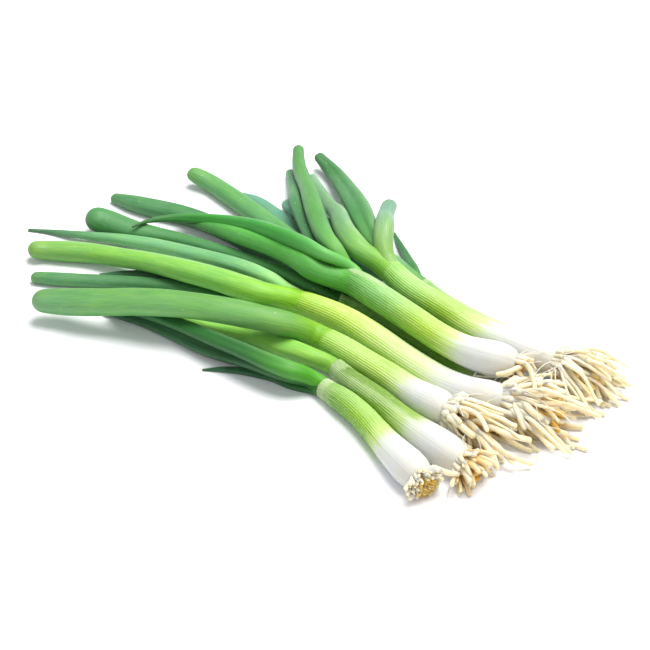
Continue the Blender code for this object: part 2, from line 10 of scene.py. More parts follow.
import bmesh
import bpy
import numpy as np
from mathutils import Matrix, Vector


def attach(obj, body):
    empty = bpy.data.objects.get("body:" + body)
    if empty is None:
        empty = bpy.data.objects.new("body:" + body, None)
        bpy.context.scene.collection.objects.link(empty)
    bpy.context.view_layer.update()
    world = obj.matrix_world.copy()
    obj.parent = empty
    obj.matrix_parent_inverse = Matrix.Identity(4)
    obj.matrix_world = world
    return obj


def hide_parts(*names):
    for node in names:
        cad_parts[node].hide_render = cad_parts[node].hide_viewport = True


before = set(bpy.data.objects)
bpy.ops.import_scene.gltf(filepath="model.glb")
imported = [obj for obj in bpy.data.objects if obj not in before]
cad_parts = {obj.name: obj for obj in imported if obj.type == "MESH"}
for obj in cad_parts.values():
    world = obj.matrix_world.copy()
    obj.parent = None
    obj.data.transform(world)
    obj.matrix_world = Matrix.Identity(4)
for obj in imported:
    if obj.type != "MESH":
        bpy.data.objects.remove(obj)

MM = 0.001

# driving dimensions, mm
GAP = 0.35  # kept between neighbours
SLACK = 0.45  # more of the same, for what the facets and the bends take
STEP = 2.5  # between the points of a centreline
LEAF_BASE = 3.5  # most that a leaf's half width is where it leaves the sheath
LEAF_SHARE = {1: 0.75, 2: 0.58, 3: 0.50, 4: 0.42}  # and over the sheath's, by number of leaves
LEAF_MOST = 8.0  # half width of the fattest leaf
LEAF_FLAT_BASE, LEAF_FLAT = 0.60, 0.85  # thickness over width, at the base and on
LEAF_OPENS = 24.0  # from the sheath to the leaf's full width
LEAF_ROUNDS = 75.0  # from the sheath to the leaf's full thickness
ROOTS = 8  # on each plate: seven round it and one at its middle
ROOT_RADIUS = 1.15
PLATE_SHARE = 0.80  # root plate's radius over the bulb's end
PLATE_HEIGHT = 2.6
OFFSET = (-29.45, 19.1, 0.05)  # from the drawing's middle to the middle of the bunch

# the drawing: its middle, what one unit of it is there in mm, and the eye
MIDDLE, UNIT = (325.0, 325.0), 0.5
EYE_RISE, EYE_TURN, EYE_REACH = math.radians(35.0), math.radians(45.0), 903.0

# each strand: its place in the pile (a strand lies over those of a lower
# number), how much further off than its stem a leaf starts, how it holds its end
# up (from and to, as shares of its length, and the height in mm), and its line
# from the root plate or the sheath, as (across, down, width) in drawing units
BUNCH = {
    "a": {
        "stem": (4.0, 0, None, [(421, 480, 33), (413, 471, 37), (399, 457, 34.5), (381, 437.5, 28.5), (359, 413, 26), (341, 399, 24.5), (324, 388, 20)]),
        "leaf_1": (2.4, -2.5, None, [(324, 386, 14), (302, 376, 18), (275, 366, 18), (246, 353, 16), (220, 342, 15), (195, 331.5, 14), (165, 320, 13), (135, 311, 12), (112, 306, 9)]),
        "leaf_2": (2.0, 2.5, None, [(321, 392, 9), (290, 378.5, 13), (258, 364, 16), (226, 352.5, 17), (200, 343, 17), (176, 333, 15), (150, 322.5, 13), (125, 314, 11), (104, 309, 8)]),
        "leaf_3": (0.5, 5.0, None, [(318, 394, 6), (300, 387, 8), (280, 379, 8.5), (258, 373.3, 8), (236, 369.8, 7), (217, 369.2, 5), (202, 370, 2)]),
        "roots": (11, 0.55),
    },
    "b": {
        "stem": (3.0, 0, None, [(464, 463, 32), (452, 455, 37), (434, 443, 36), (414, 429, 31), (395, 415, 28), (375, 399, 26), (355, 384, 23), (338, 370, 20)]),
        "leaf_1": (3.0, 0, None, [(336, 368, 16), (318, 359.5, 19), (297, 350, 21.5), (268, 340, 20.5), (240, 332, 17.5), (214, 326, 13.5), (185, 317, 13), (155, 309, 12), (128, 303, 9)]),
        "roots": (17, 0.60),
    },
    "c": {
        "stem": (6.0, 0, None, [(450, 412, 33), (441, 408, 37), (426, 401, 36), (409, 391, 31.5), (390, 378, 29), (368.5, 364.5, 27), (343, 349, 26), (320, 337.5, 25.5)]),
        "leaf_1": (5.0, -1.0, (0.45, 0.8, 12), [(318, 337, 18), (298, 329, 24.5), (270, 320.5, 25.5), (240, 313.5, 26.5), (200, 307, 26.5), (150, 304, 28), (100, 302.5, 28), (60, 301.5, 27), (32, 300, 22)]),
        "leaf_2": (3.4, 4.5, None, [(318, 334, 8), (290, 326, 11), (262, 315, 12), (235, 303, 13), (210, 294, 13.5), (180, 288, 14), (150, 284.3, 14), (100, 281.5, 13.5), (60, 279.3, 14), (31, 277.3, 12)]),
        "roots": (34, 0.50),
    },
    "d": {
        "stem": (5.0, 0, None, [(507, 402, 32), (492, 399.5, 35), (472, 395, 34.5), (447, 385, 31.5), (425, 372.5, 30.5), (402, 357.5, 29.5), (372, 337, 29.5), (344, 320, 28), (318, 309, 26.5), (297, 301, 25)]),
        "leaf_1": (6.0, -1.0, (0.8, 1.0, 8), [(295, 301, 17), (275, 296.5, 24), (250, 290.5, 24.5), (222, 281.5, 24), (190, 273, 23), (150, 263.5, 20.5), (128, 259.5, 19.5), (98, 254, 20), (60, 251, 21), (28, 249, 18)]),
        "leaf_2": (5.6, 4.0, None, [(297, 293, 8), (275, 282, 13), (250, 270.5, 15.5), (225, 262.5, 15.5), (200, 256, 15), (150, 244.3, 13.5), (100, 236.3, 9.5), (60, 232.5, 6), (28, 230, 3)]),
        "roots": (32, 0.45),
    },
    "e": {
        "stem": (6.0, 0, None, [(513, 366, 32), (499, 361, 36), (481, 356.5, 35), (461, 349, 30.5), (431, 332, 28.5), (411, 318.5, 28.5), (390, 305, 28.5), (370, 292.5, 28.5), (352, 281, 27.5)]),
        "leaf_1": (7.0, -4.0, None, [(349, 266.5, 8.5), (334, 259, 11), (315, 249.5, 14), (302, 243.5, 15), (280, 235, 15), (258, 227.5, 14.5), (238, 223, 12.5), (218, 220.3, 11), (198, 219, 9.5), (178, 218.2, 8), (160, 219.5, 6), (146, 222.5, 4), (132, 227, 2)]),
        "leaf_2": (6.2, -3.0, None, [(352, 284.5, 18), (334, 277.5, 21.5), (312, 267, 20.5), (290, 256.5, 19), (262, 246, 17), (236, 238, 14.5), (214, 231.5, 10.5), (199, 228, 7), (187, 225.5, 3)]),
        "leaf_3": (5.0, 0, (0.6, 1.0, 12), [(347, 263, 11), (330, 246, 17.5), (318, 224, 19.5), (309, 202, 19), (302, 180, 15.5), (298.5, 162, 13), (298.5, 147, 11)]),
        "leaf_4": (3.2, 4.0, (0.7, 1.0, 9), [(345, 268, 9), (322, 256, 14), (298, 243, 18), (272, 226, 20), (252, 211.5, 20), (236, 200, 19), (218, 188, 18), (202, 178.5, 17), (188, 171.5, 14)]),
        "roots": (20, 0.45),
    },
    "f": {
        "stem": (5.2, 0, None, [(557, 363, 32), (541, 357, 36), (518, 348, 36), (493, 338.5, 32), (470, 327, 29), (443.5, 310, 27.5), (419, 295, 27), (402, 282, 26), (388, 268, 25)]),
        "leaf_1": (5.4, -2.0, None, [(383, 263, 16), (367, 252, 22), (350, 237, 21.5), (337, 219, 18), (327, 203, 14), (318, 188, 11), (312, 176, 8)]),
        "leaf_2": (5.0, -3.0, (0.0, 0.45, 24), [(390, 262, 14), (386, 250, 20), (383, 238, 20.5), (383, 225, 19.5), (386, 213, 16), (390.5, 203, 15.5)]),
        "leaf_3": (4.4, 4.0, (0.6, 1.0, 9), [(384, 258, 9), (375, 243, 15), (366, 226, 22), (358, 208, 24), (348, 192, 20.5), (338, 178, 17), (327, 165.5, 13.5), (317, 154.5, 10)]),
        "roots": (27, 0.50),
    },
    "g": {
        "stem": (1.5, 0, None, [(574, 366, 31), (560, 357, 34), (540, 350, 33), (515, 341, 29), (490, 331, 26), (465, 319, 25), (442, 305, 24), (424, 290, 22)]),
        "leaf_1": (1.2, 3.0, None, [(422, 285, 9), (414, 270, 9), (406, 255, 8), (399, 243, 6), (394, 233, 3)]),
        "leaf_2": (1.6, -1.5, None, [(418, 284, 10), (396, 264, 13), (368, 247, 16), (338, 232, 18), (312, 220, 19), (295, 210, 17), (286, 203, 13)]),
        "leaf_3": (1.4, -3.0, None, [(414, 290, 9), (386, 275, 12), (352, 259, 13), (322, 243, 13.5), (296, 226, 14), (272, 210.5, 13), (252, 200, 11), (240, 196, 7)]),
        "roots": (25, 0.50),
    },
    "h": {
        "stem": (1.0, 0, None, [(500, 392, 30), (486, 385, 31), (468, 374, 27), (440, 355, 22), (412, 337, 21), (385, 321, 20), (360, 309, 19), (343, 302, 17)]),
        "leaf_1": (4.0, -2.5, (0.8, 1.0, 10), [(343, 301, 13), (322, 291, 14), (300, 281, 13.5), (279, 271, 13), (255, 262, 12), (230, 253.5, 11.5), (203, 245.5, 12), (178, 239, 13), (150, 234, 17), (126, 229, 22), (104, 223, 25), (86, 221, 25)]),
        "leaf_2": (3.0, 2.5, None, [(341, 299, 9), (318, 284, 12), (290, 268, 13), (262, 253, 14), (236, 238, 15), (208, 224, 16), (180, 214.5, 17), (154, 208.5, 16.5), (130, 202.5, 14), (112, 197.5, 9)]),
        "leaf_3": (3.6, -1.0, None, [(344, 296, 8), (328, 270, 11), (314, 243, 13), (303, 215, 13), (295, 190, 12), (290, 172, 9.5)]),
        "leaf_4": (2.2, 2.0, None, [(342, 304, 8), (318, 299, 10), (290, 294, 12), (260, 289, 13), (230, 283.5, 13), (200, 279, 13), (170, 276, 12), (140, 274.3, 9), (118, 274, 6), (99, 275, 3)]),
        "roots": (18, 0.40),
    },
}


# ------------------------------------------------------------------ centrelines


def unit(v):
    v = np.asarray(v, float)
    return v / max(float(np.linalg.norm(v)), 1e-9)


def spline(points, step):
    """A smooth curve through the points, as a row of points about a step apart.

    The last column is a width, which never swings past its own values.
    """
    y = np.array(points, float)
    s = np.concatenate([[0.0], np.cumsum(np.linalg.norm(np.diff(y[:, :-1], axis=0), axis=1))])
    n, h = len(s), np.diff(s)
    m, b = np.zeros((n, n)), np.zeros(y.shape)
    m[0, 0] = m[-1, -1] = 1.0
    for i in range(1, n - 1):
        m[i, i - 1], m[i, i], m[i, i + 1] = h[i - 1], 2.0 * (h[i - 1] + h[i]), h[i]
        b[i] = 6.0 * ((y[i + 1] - y[i]) / h[i] - (y[i] - y[i - 1]) / h[i - 1])
    c = np.linalg.solve(m, b)
    u = np.linspace(0.0, s[-1], int(round(s[-1] / step)) + 1)
    k = np.clip(np.searchsorted(s, u, side="right") - 1, 0, n - 2)
    t, w = (u - s[k])[:, None], h[k][:, None]
    out = (c[k + 1] - c[k]) / (6 * w) * t**3 + c[k] / 2 * t**2
    out += ((y[k + 1] - y[k]) / w - w * (2 * c[k] + c[k + 1]) / 6) * t + y[k]
    slope = np.gradient(y[:, -1], s)
    slope[[0, -1]] = 0.0
    q, hk = (u - s[k]) / h[k], h[k]
    out[:, -1] = (1 + 2 * q) * (1 - q) ** 2 * y[k, -1] + q * (1 - q) ** 2 * hk * slope[k]
    out[:, -1] += q * q * (3 - 2 * q) * y[k + 1, -1] + q * q * (q - 1) * hk * slope[k + 1]
    return out


def along(points):
    return np.concatenate([[0.0], np.cumsum(np.linalg.norm(np.diff(points, axis=0), axis=1))])


def smoothstep(x):
    x = np.clip(x, 0.0, 1.0)
    return x * x * (3.0 - 2.0 * x)


def tangents(points):
    t = np.gradient(points, axis=0)
    return t / np.maximum(np.linalg.norm(t, axis=1, keepdims=True), 1e-9)


def chance(*key):
    """A fixed number from 0 to 1 for each key."""
    x = math.sin(sum((i + 1) * 12.9898 * (k + 1.37) for i, k in enumerate(key))) * 43758.5453
    return x - math.floor(x)


def plate_frame(stem):
    """Centre, outward axis and two directions across the root plate."""
    axis = -tangents(stem)[0]
    across = unit(np.cross(axis, (0.0, 0.0, 1.0)))
    return stem[0], axis, across, np.cross(across, axis)


def root_route(stem, radius, onion, k, length, splay):
    """One root: out of the plate, spreading, then drooping to the surface."""
    centre, axis, across, up = plate_frame(stem)
    middle = k == ROOTS - 1
    angle = 2.0 * math.pi * (k + 0.5) / (ROOTS - 1) + 0.35 * onion
    radial = math.cos(angle) * across + math.sin(angle) * up
    out = 0.0 if middle else 0.66 * radius * PLATE_SHARE
    p = centre + axis * (GAP + PLATE_HEIGHT * (1.0 if middle else 0.8)) + radial * out
    way = unit(axis + (0.1 if middle else 1.1) * radial)
    aim = unit(axis + (0.0 if middle else splay * (0.6 + 0.8 * chance(onion, k))) * radial)
    length = length * (0.75 + 0.5 * chance(k, onion + 3))
    route = [p]
    for _ in range(max(3, int(round(length / STEP)))):
        way = unit(way + 0.30 * (aim - way) + np.array([0.0, 0.0, -0.07]))
        p = p + way * STEP
        p[2] = max(p[2], ROOT_RADIUS + 0.3)
        way = unit(p - route[-1])
        route.append(p)
    return np.array(route)


class Strand:
    """One stem, leaf or root: its centreline, half widths and flatness."""

    def __init__(self, onion, kind, name, points, width, flat):
        self.onion, self.kind, self.name = onion, kind, name
        self.points, self.width, self.flat = points, width, flat


def eye():
    """Where the drawing is seen from, and its directions: towards the eye, across and up."""
    c, s = math.cos(EYE_TURN), math.sin(EYE_TURN)
    back = np.array([s * math.cos(EYE_RISE), -c * math.cos(EYE_RISE), math.sin(EYE_RISE)])
    right = np.array([c, s, 0.0])
    return np.array([0.0, 0.0, 15.0]) + EYE_REACH * back, back, right, np.cross(back, right)


def drawn_widths(s, place, back):
    """Half widths in mm of a strand at its present distance, and its flatness."""
    half = 0.5 * s.drawn * (-(s.points - place) @ back) * UNIT / EYE_REACH
    flat = np.ones(len(half))
    if s.kind == "leaf":
        flat = LEAF_FLAT_BASE + (LEAF_FLAT - LEAF_FLAT_BASE) * smoothstep(along(s.points) / LEAF_ROUNDS)
        m = np.cross(tangents(s.points), s.sight)
        m /= np.linalg.norm(m, axis=1, keepdims=True)
        half = np.minimum(half / np.sqrt(m[:, 0] ** 2 + m[:, 1] ** 2 + (flat * m[:, 2]) ** 2), LEAF_MOST)
    return half, flat


def smooth_run(x, k=0.45):
    """A run of numbers with its short waves taken down, its ends kept."""
    y = x.copy()
    if len(x) > 4:
        y[2:-2] = x[2:-2] + k * ((-x[:-4] + 4 * x[1:-3] + 4 * x[3:-1] - x[4:]) / 6 - x[2:-2])
        y[1] += 0.6 * k * (0.5 * (y[0] + y[2]) - x[1])
        y[-2] += 0.6 * k * (0.5 * (y[-1] + y[-3]) - x[-2])
    for m in (2, 3):
        if len(x) > 4 * m:
            z = y.copy()
            y[2 * m : -2 * m] = z[2 * m : -2 * m] + k * ((-z[: -4 * m] + 4 * z[m : -3 * m] + 4 * z[3 * m : -m] - z[4 * m :]) / 6 - z[2 * m : -2 * m])
    y[0] += 0.3 * k * (2 * y[1] - y[2] - y[0])
    y[-1] += 0.3 * k * (2 * y[-2] - y[-3] - y[-1])
    return y


def lay(rounds=1000):
    """The drawn strands at their heights: each rests on the surface, or on strands lower in the pile."""
    place, back, right, up = eye()
    strands, spans, n = [], [], 0
    for number, (letter, routes) in enumerate(BUNCH.items()):
        for name, route in routes.items():
            if name == "roots":
                continue
            order, start, hold, line = route
            drawn = spline(line, 9.0)
            s = Strand(number, name[:4], f"onion_{letter}_{name}", None, None, None)
            s.order, s.starts, s.drawn = order, start, drawn[:, 2]
            off = (drawn[:, :2] - MIDDLE) * UNIT
            s.sight = off[:, :1] * right - off[:, 1:2] * up - EYE_REACH * back
            s.sight /= np.linalg.norm(s.sight, axis=1, keepdims=True)
            share = np.linspace(0.0, 1.0, len(drawn))
            s.hold = np.zeros(len(drawn)) if hold is None else hold[2] * np.clip((share - hold[0]) / (hold[1] - hold[0]), 0.0, 1.0)
            strands.append(s)
            spans.append(slice(n, n + len(drawn)))
            n += len(drawn)
    sight = np.concatenate([s.sight for s in strands])
    hold = np.concatenate([s.hold for s in strands])
    own = np.concatenate([np.full(len(s.drawn), i) for i, s in enumerate(strands)])
    order = np.concatenate([np.full(len(s.drawn), s.order) for s in strands])
    onion = np.concatenate([np.full(len(s.drawn), s.onion) for s in strands])
    stem = np.concatenate([np.full(len(s.drawn), s.kind == "stem") for s in strands])
    stem_end = {s.onion: span.stop - 1 for s, span in zip(strands, spans) if s.kind == "stem"}
    far = (place[2] - 6.0) / -sight[:, 2]
    for turn in range(rounds):
        points = place + sight * far[:, None]
        if turn % 10 == 0:
            width, flat = np.zeros(n), np.ones(n)
            for s, span in zip(strands, spans):
                s.points = points[span]
                half, flat[span] = drawn_widths(s, place, back)
                if s.kind == "leaf":
                    narrow = np.minimum(half, LEAF_BASE)
                    half = narrow + (half - narrow) * smoothstep(along(s.points) / LEAF_OPENS)
                width[span] = half
            d = points[:, None, :] - points[None, :, :]
            near = np.einsum("ijk,ijk->ij", d, d) < (width[:, None] + width[None, :] + 8.0) ** 2
            near &= (order[:, None] > order[None, :]) & ~((onion[:, None] == onion[None, :]) & (stem[:, None] != stem[None, :]))
            i, j = np.nonzero(near)
        most = (place[2] - np.maximum(width * flat, hold)) / -sight[:, 2]
        far = np.minimum(far + (0.25 if turn < rounds * 0.8 else 0.08), most)
        for s, span in zip(strands, spans):
            far[span] = np.minimum(most[span] + smooth_run(far[span] - most[span]), most[span])
        for s, span in zip(strands, spans):
            if s.kind == "leaf":
                begins = far[stem_end[s.onion]] + s.starts
                far[span.start] = begins
                far[span.start + 1] = 0.6 * far[span.start + 1] + 0.4 * begins
        points = place + sight * far[:, None]
        d = points[i] - points[j]
        dist = np.linalg.norm(d, axis=1) + 1e-9
        lean = (d[:, 2] / dist) ** 2
        need = width[i] * np.sqrt(1 - lean + lean * flat[i] ** 2) + width[j] * np.sqrt(1 - lean + lean * flat[j] ** 2) + 0.6
        short = np.maximum(need - dist, 0.0)
        nearer, further = np.zeros(n), np.zeros(n)
        np.maximum.at(nearer, i, short)
        np.maximum.at(further, j, short)
        far = np.minimum(far - 0.45 * nearer + 0.25 * further, most)
    points = place + sight * far[:, None]
    for s, span in zip(strands, spans):
        s.points = points[span]
        s.width, s.flat = drawn_widths(s, place, back)
    return strands


def lay_out(drawn):
    """Every strand at its place, with its roots, and with each leaf begun at the end of its sheath."""
    strands = []
    for number, (letter, routes) in enumerate(BUNCH.items()):
        mine = [s for s in drawn if s.onion == number]
        stem = spline(np.column_stack([mine[0].points, mine[0].width]), STEP)
        strands.append(Strand(number, "stem", mine[0].name, stem[:, :3], stem[:, 3], np.ones(len(stem))))
        top, way = stem[-1, :3], tangents(stem[:, :3])[-1]
        for s in mine[1:]:
            aside = s.points[0] - top
            aside -= way * aside.dot(way)
            reach = 3.2 if len(mine) > 2 else 0.0
            base = top + way * (GAP + 0.15) + unit(aside) * min(reach, float(np.linalg.norm(aside)))
            row = [(*base, s.width[0]), (*(base + way * 7.0), s.width[1])]
            row += [(*p, w) for p, w in zip(s.points, s.width) if np.linalg.norm(p - base) > 15.0]
            leaf = spline(row, STEP)
            narrow = np.minimum(leaf[:, 3], min(LEAF_BASE, LEAF_SHARE[len(mine) - 1] * stem[-1, 3]))
            here = along(leaf[:, :3])
            width = narrow + (leaf[:, 3] - narrow) * smoothstep(here / LEAF_OPENS)
            flat = LEAF_FLAT_BASE + (LEAF_FLAT - LEAF_FLAT_BASE) * smoothstep(here / LEAF_ROUNDS)
            strands.append(Strand(number, "leaf", s.name, leaf[:, :3], width, flat))
            strands[-1].full = leaf[:, 3]
        length, splay = routes["roots"]
        for k in range(ROOTS):
            route = root_route(stem[:, :3], stem[0, 3], number, k, length, splay)
            width = np.full(len(route), ROOT_RADIUS) * (0.9 + 0.2 * chance(k, number, 5))
            strands.append(Strand(number, "root", f"onion_{letter}_root_{k}", route, width, np.ones(len(route))))
    return strands


def settle(strands, rounds=160):
    """Moves the centrelines apart wherever two strands, or a strand and the surface, would meet."""
    spans, n = [], 0
    for s in strands:
        spans.append(slice(n, n + len(s.points)))
        n += len(s.points)
    p = np.concatenate([s.points for s in strands])
    start = p.copy()
    width = np.concatenate([s.width for s in strands])
    flat = np.concatenate([s.flat for s in strands])
    own = np.concatenate([np.full(len(s.points), i) for i, s in enumerate(strands)])
    onion = np.concatenate([np.full(len(s.points), s.onion) for s in strands])
    kind = np.concatenate([np.full(len(s.points), "slr".index(s.kind[0])) for s in strands])
    place = np.concatenate([along(s.points) for s in strands])
    left = np.concatenate([along(s.points)[-1] - along(s.points) for s in strands])
    heavy = np.where(kind == 0, 0.15, 1.0)  # a stem gives way less than a leaf
    slack = np.where(kind == 2, 0.25, 0.5 * SLACK)
    tops = {s.onion: (spans[i], s) for i, s in enumerate(strands) if s.kind == "stem"}
    for turn in range(rounds):
        if turn % 8 == 0:
            d = p[:, None, :] - p[None, :, :]
            near = np.einsum("ijk,ijk->ij", d, d) < (width[:, None] + width[None, :] + 5.0) ** 2
            near &= own[:, None] < own[None, :]
            i, j = np.nonzero(near)
            same = onion[i] == onion[j]
            skip = same & (kind[i] == 0) & (kind[j] == 1) & ((left[i] < 9.0) | (place[j] < 7.0))
            skip |= same & (kind[i] == 0) & (kind[j] == 2) & ((place[i] < 12.0) & (place[j] < 12.0))
            skip |= same & (kind[i] == 2) & (kind[j] == 2) & ((place[i] < 4.0) | (place[j] < 4.0))
            i, j = i[~skip], j[~skip]
        d = p[i] - p[j]
        dist = np.linalg.norm(d, axis=1) + 1e-9
        way = d / dist[:, None]
        up = way[:, 2] ** 2
        need = width[i] * np.sqrt(1 - up + up * flat[i] ** 2) + width[j] * np.sqrt(1 - up + up * flat[j] ** 2)
        need += GAP + slack[i] + slack[j]
        short = np.maximum(need - dist, 0.0)
        hit = short > 0
        a, b = i[hit], j[hit]
        force = (short[hit] * 0.5)[:, None] * way[hit]
        share = (heavy[a] / (heavy[a] + heavy[b]))[:, None]
        move, count = np.zeros_like(p), np.zeros(n)
        np.add.at(move, a, force * 2 * share)
        np.add.at(move, b, -force * 2 * (1 - share))
        np.add.at(count, a, 1.0)
        np.add.at(count, b, 1.0)
        move /= np.maximum(count, 1.0)[:, None] ** 0.5
        for span, s in zip(spans, strands):
            m = move[span]
            for _ in range(3 if s.kind != "root" else 1):  # a strand bends as a whole, not at one point
                m = np.concatenate([m[:1], 0.25 * m[:-2] + 0.5 * m[1:-1] + 0.25 * m[2:], m[-1:]])
            q = p[span] + 0.8 * m
            if turn < rounds * 0.6:
                bend = np.zeros_like(q)
                bend[1:-1] = 0.5 * (q[:-2] + q[2:]) - q[1:-1]
                rest = np.zeros_like(q)
                o = start[span]
                rest[1:-1] = 0.5 * (o[:-2] + o[2:]) - o[1:-1]
                q = q + 0.3 * (bend - rest)
            low = s.width * s.flat + 0.05
            q[:, 2] = np.maximum(q[:, 2], low)
            if s.kind == "root":
                q[0] = start[span][0]
                q[1] = 0.5 * (q[1] + start[span][1])
            if s.kind == "leaf":
                stem_span, stem = tops[s.onion]
                top = p[stem_span][-1]
                axis = tangents(p[stem_span])[-1]
                for k in range(3):
                    off = q[k] - top
                    ahead = GAP + 0.15 + k * 2.2
                    lie = off - axis * off.dot(axis)
                    most = max(0.5, stem.width[-1] - 0.55 * s.width[0] + k * 0.8)
                    size = float(np.linalg.norm(lie))
                    if size > most:
                        lie *= most / size
                    reach = off.dot(axis) if k else ahead
                    q[k] = top + axis * max(reach, ahead) + lie
            p[span] = q
    for span, s in zip(spans, strands):
        s.points = p[span] - np.array(OFFSET)
    return strands


# ------------------------------------------------------------------ the look

AROUND_STEM, AROUND_LEAF = 176, 80
RIBS = 36  # veins round a sheathed stem

# each onion: where its white ends (shares of the stem, from and to), the colour
# there and at the top of the sheath, and how far its sheath's edge reaches, mm
# shade: how much painted shade lies on the side under the next onion
STEMS = {
    "a": dict(turns=(0.30, 0.50), low=(152, 196, 18), high=(112, 166, 58), collar=1.5, slant=-0.6),
    "b": dict(turns=(0.30, 0.54), low=(134, 170, 50), high=(116, 150, 72), collar=2.0, slant=0.9, shade=0.9),
    "c": dict(turns=(0.25, 0.46), low=(202, 224, 118), high=(150, 200, 72), collar=4.0, slant=-1.8, flush=True, shade=0.3),
    "d": dict(turns=(0.20, 0.54), low=(220, 232, 156), high=(168, 212, 54), collar=4.0, slant=1.0, flush=True),
    "e": dict(turns=(0.22, 0.40), low=(186, 214, 56), high=(84, 162, 74), collar=2.5, slant=1.2, flush=True, smooth=30.0),
    "f": dict(turns=(0.30, 0.54), low=(164, 192, 40), high=(136, 190, 82), collar=3.0, slant=0.4, flush=True),
    "g": dict(turns=(0.36, 0.60), low=(166, 204, 110), high=(110, 166, 76), collar=2.0, slant=0.4),
    "h": dict(turns=(0.02, 0.22), low=(128, 186, 14), high=(72, 138, 28), collar=2.0, slant=0.4, shade=0.5),
}

# each leaf: colours near the sheath, along it and at its tip, its pale bloom and painted sheen, how deep a fold runs
# along it and where round it, and its number of veins
LEAVES = {
    "onion_a_leaf_1": dict(c=((84, 167, 21), (18, 98, 17), (32, 98, 47)), bloom=0.18, fold=0.16, at=2.0, rim=0.5, neck=0.74, side=1.4),
    "onion_a_leaf_2": dict(c=((44, 112, 30), (24, 88, 38), (30, 84, 54)), bloom=0.30, fold=0.20, at=2.3, neck=0.66, side=-2.0, front=0.5, move=(1.2, -1.2, 0.0)),
    "onion_a_leaf_3": dict(c=((36, 102, 46), (30, 88, 52), (32, 80, 52)), bloom=0.25, fold=0.20, at=2.0, neck=0.45, side=-2.6),
    "onion_b_leaf_1": dict(c=((142, 192, 72), (162, 228, 94), (54, 116, 62)), bloom=0.40, fold=0.10, at=1.9, warm=0.4, neck=0.90),
    "onion_c_leaf_1": dict(c=((136, 187, 47), (118, 177, 85), (112, 168, 112)), bloom=0.72, fold=0.03, at=2.2, warm=1.0, up=(64, 126, 4), upper=1.55, rim=0.0, neck=0.98, skip=27.0),
    "onion_c_leaf_2": dict(c=((50, 116, 40), (52, 116, 58), (86, 144, 90)), bloom=0.40, fold=0.06, at=1.9, neck=0.50, side=2.6, front=-2.0),
    "onion_d_leaf_1": dict(c=((152, 206, 50), (136, 198, 77), (126, 175, 78)), bloom=0.45, fold=0.05, at=1.6, warm=0.6, rim=0.9, ends=0.5, neck=0.98, side=-0.2, skip=15.0),
    "onion_d_leaf_2": dict(c=((176, 230, 146), (118, 180, 122), (40, 92, 60)), bloom=0.70, fold=0.06, at=1.8, rim=0.5, neck=0.50, side=3.0),
    "onion_e_leaf_1": dict(c=((114, 190, 98), (44, 152, 27), (16, 86, 17)), bloom=0.36, fold=0.14, at=2.6, rim=0.6, neck=0.36, side=5.6, front=0.4, opens=10.0, skip=20.0, wider=1.06),
    "onion_e_leaf_2": dict(c=((95, 172, 73), (78, 171, 43), (34, 104, 30)), bloom=0.45, fold=0.08, at=2.6, rim=0.5, neck=0.84, side=-0.6, front=0.3, skip=19.0, move=(0.0, 0.0, 2.2), wider=1.14),
    "onion_e_leaf_3": dict(c=((112, 177, 82), (73, 143, 63), (66, 130, 61)), bloom=0.45, fold=0.05, at=1.9, warm=0.2, neck=0.50, side=2.6, front=-1.5),
    "onion_e_leaf_4": dict(c=((104, 164, 80), (87, 156, 87), (91, 156, 80)), bloom=0.50, fold=0.05, at=1.8, warm=0.2, neck=0.50, side=1.2, front=-2.5),
    "onion_f_leaf_1": dict(c=((134, 188, 72), (113, 157, 108), (140, 173, 161)), bloom=0.90, fold=0.08, at=2.2, rim=1.0, neck=0.95, side=-0.4),
    "onion_f_leaf_2": dict(c=((145, 181, 104), (121, 157, 143), (111, 148, 154)), bloom=0.90, fold=0.03, at=1.8, neck=0.72, side=1.8, front=1.0, lines=0.15),
    "onion_f_leaf_3": dict(c=((82, 142, 64), (58, 128, 62), (49, 109, 49)), bloom=0.40, fold=0.30, at=1.9, rim=0.5, neck=0.50, side=2.4, front=-2.0),
    "onion_g_leaf_1": dict(c=((70, 130, 70), (50, 112, 62), (54, 112, 68)), bloom=0.35, fold=0.15, at=1.9, neck=0.50, front=-2.6),
    "onion_g_leaf_2": dict(c=((98, 158, 84), (112, 172, 156), (116, 178, 168)), bloom=0.80, fold=0.14, at=1.8, neck=0.66, side=1.8),
    "onion_g_leaf_3": dict(c=((90, 150, 78), (94, 154, 134), (104, 162, 148)), bloom=0.75, fold=0.12, at=1.8, neck=0.62, side=-1.8),
    "onion_h_leaf_1": dict(c=((36, 106, 24), (52, 128, 51), (67, 138, 65)), bloom=0.55, fold=0.05, at=1.9, neck=0.60),
    "onion_h_leaf_2": dict(c=((30, 98, 26), (50, 122, 58), (72, 134, 80)), bloom=0.55, fold=0.08, at=1.9, neck=0.62, side=2.2, wider=1.15),
    "onion_h_leaf_3": dict(c=((56, 124, 54), (64, 128, 76), (84, 142, 104)), bloom=0.55, fold=0.08, at=1.9, neck=0.50),
    "onion_h_leaf_4": dict(c=((16, 76, 10), (18, 80, 18), (60, 112, 78)), bloom=0.30, fold=0.05, at=1.9, neck=0.50),
}

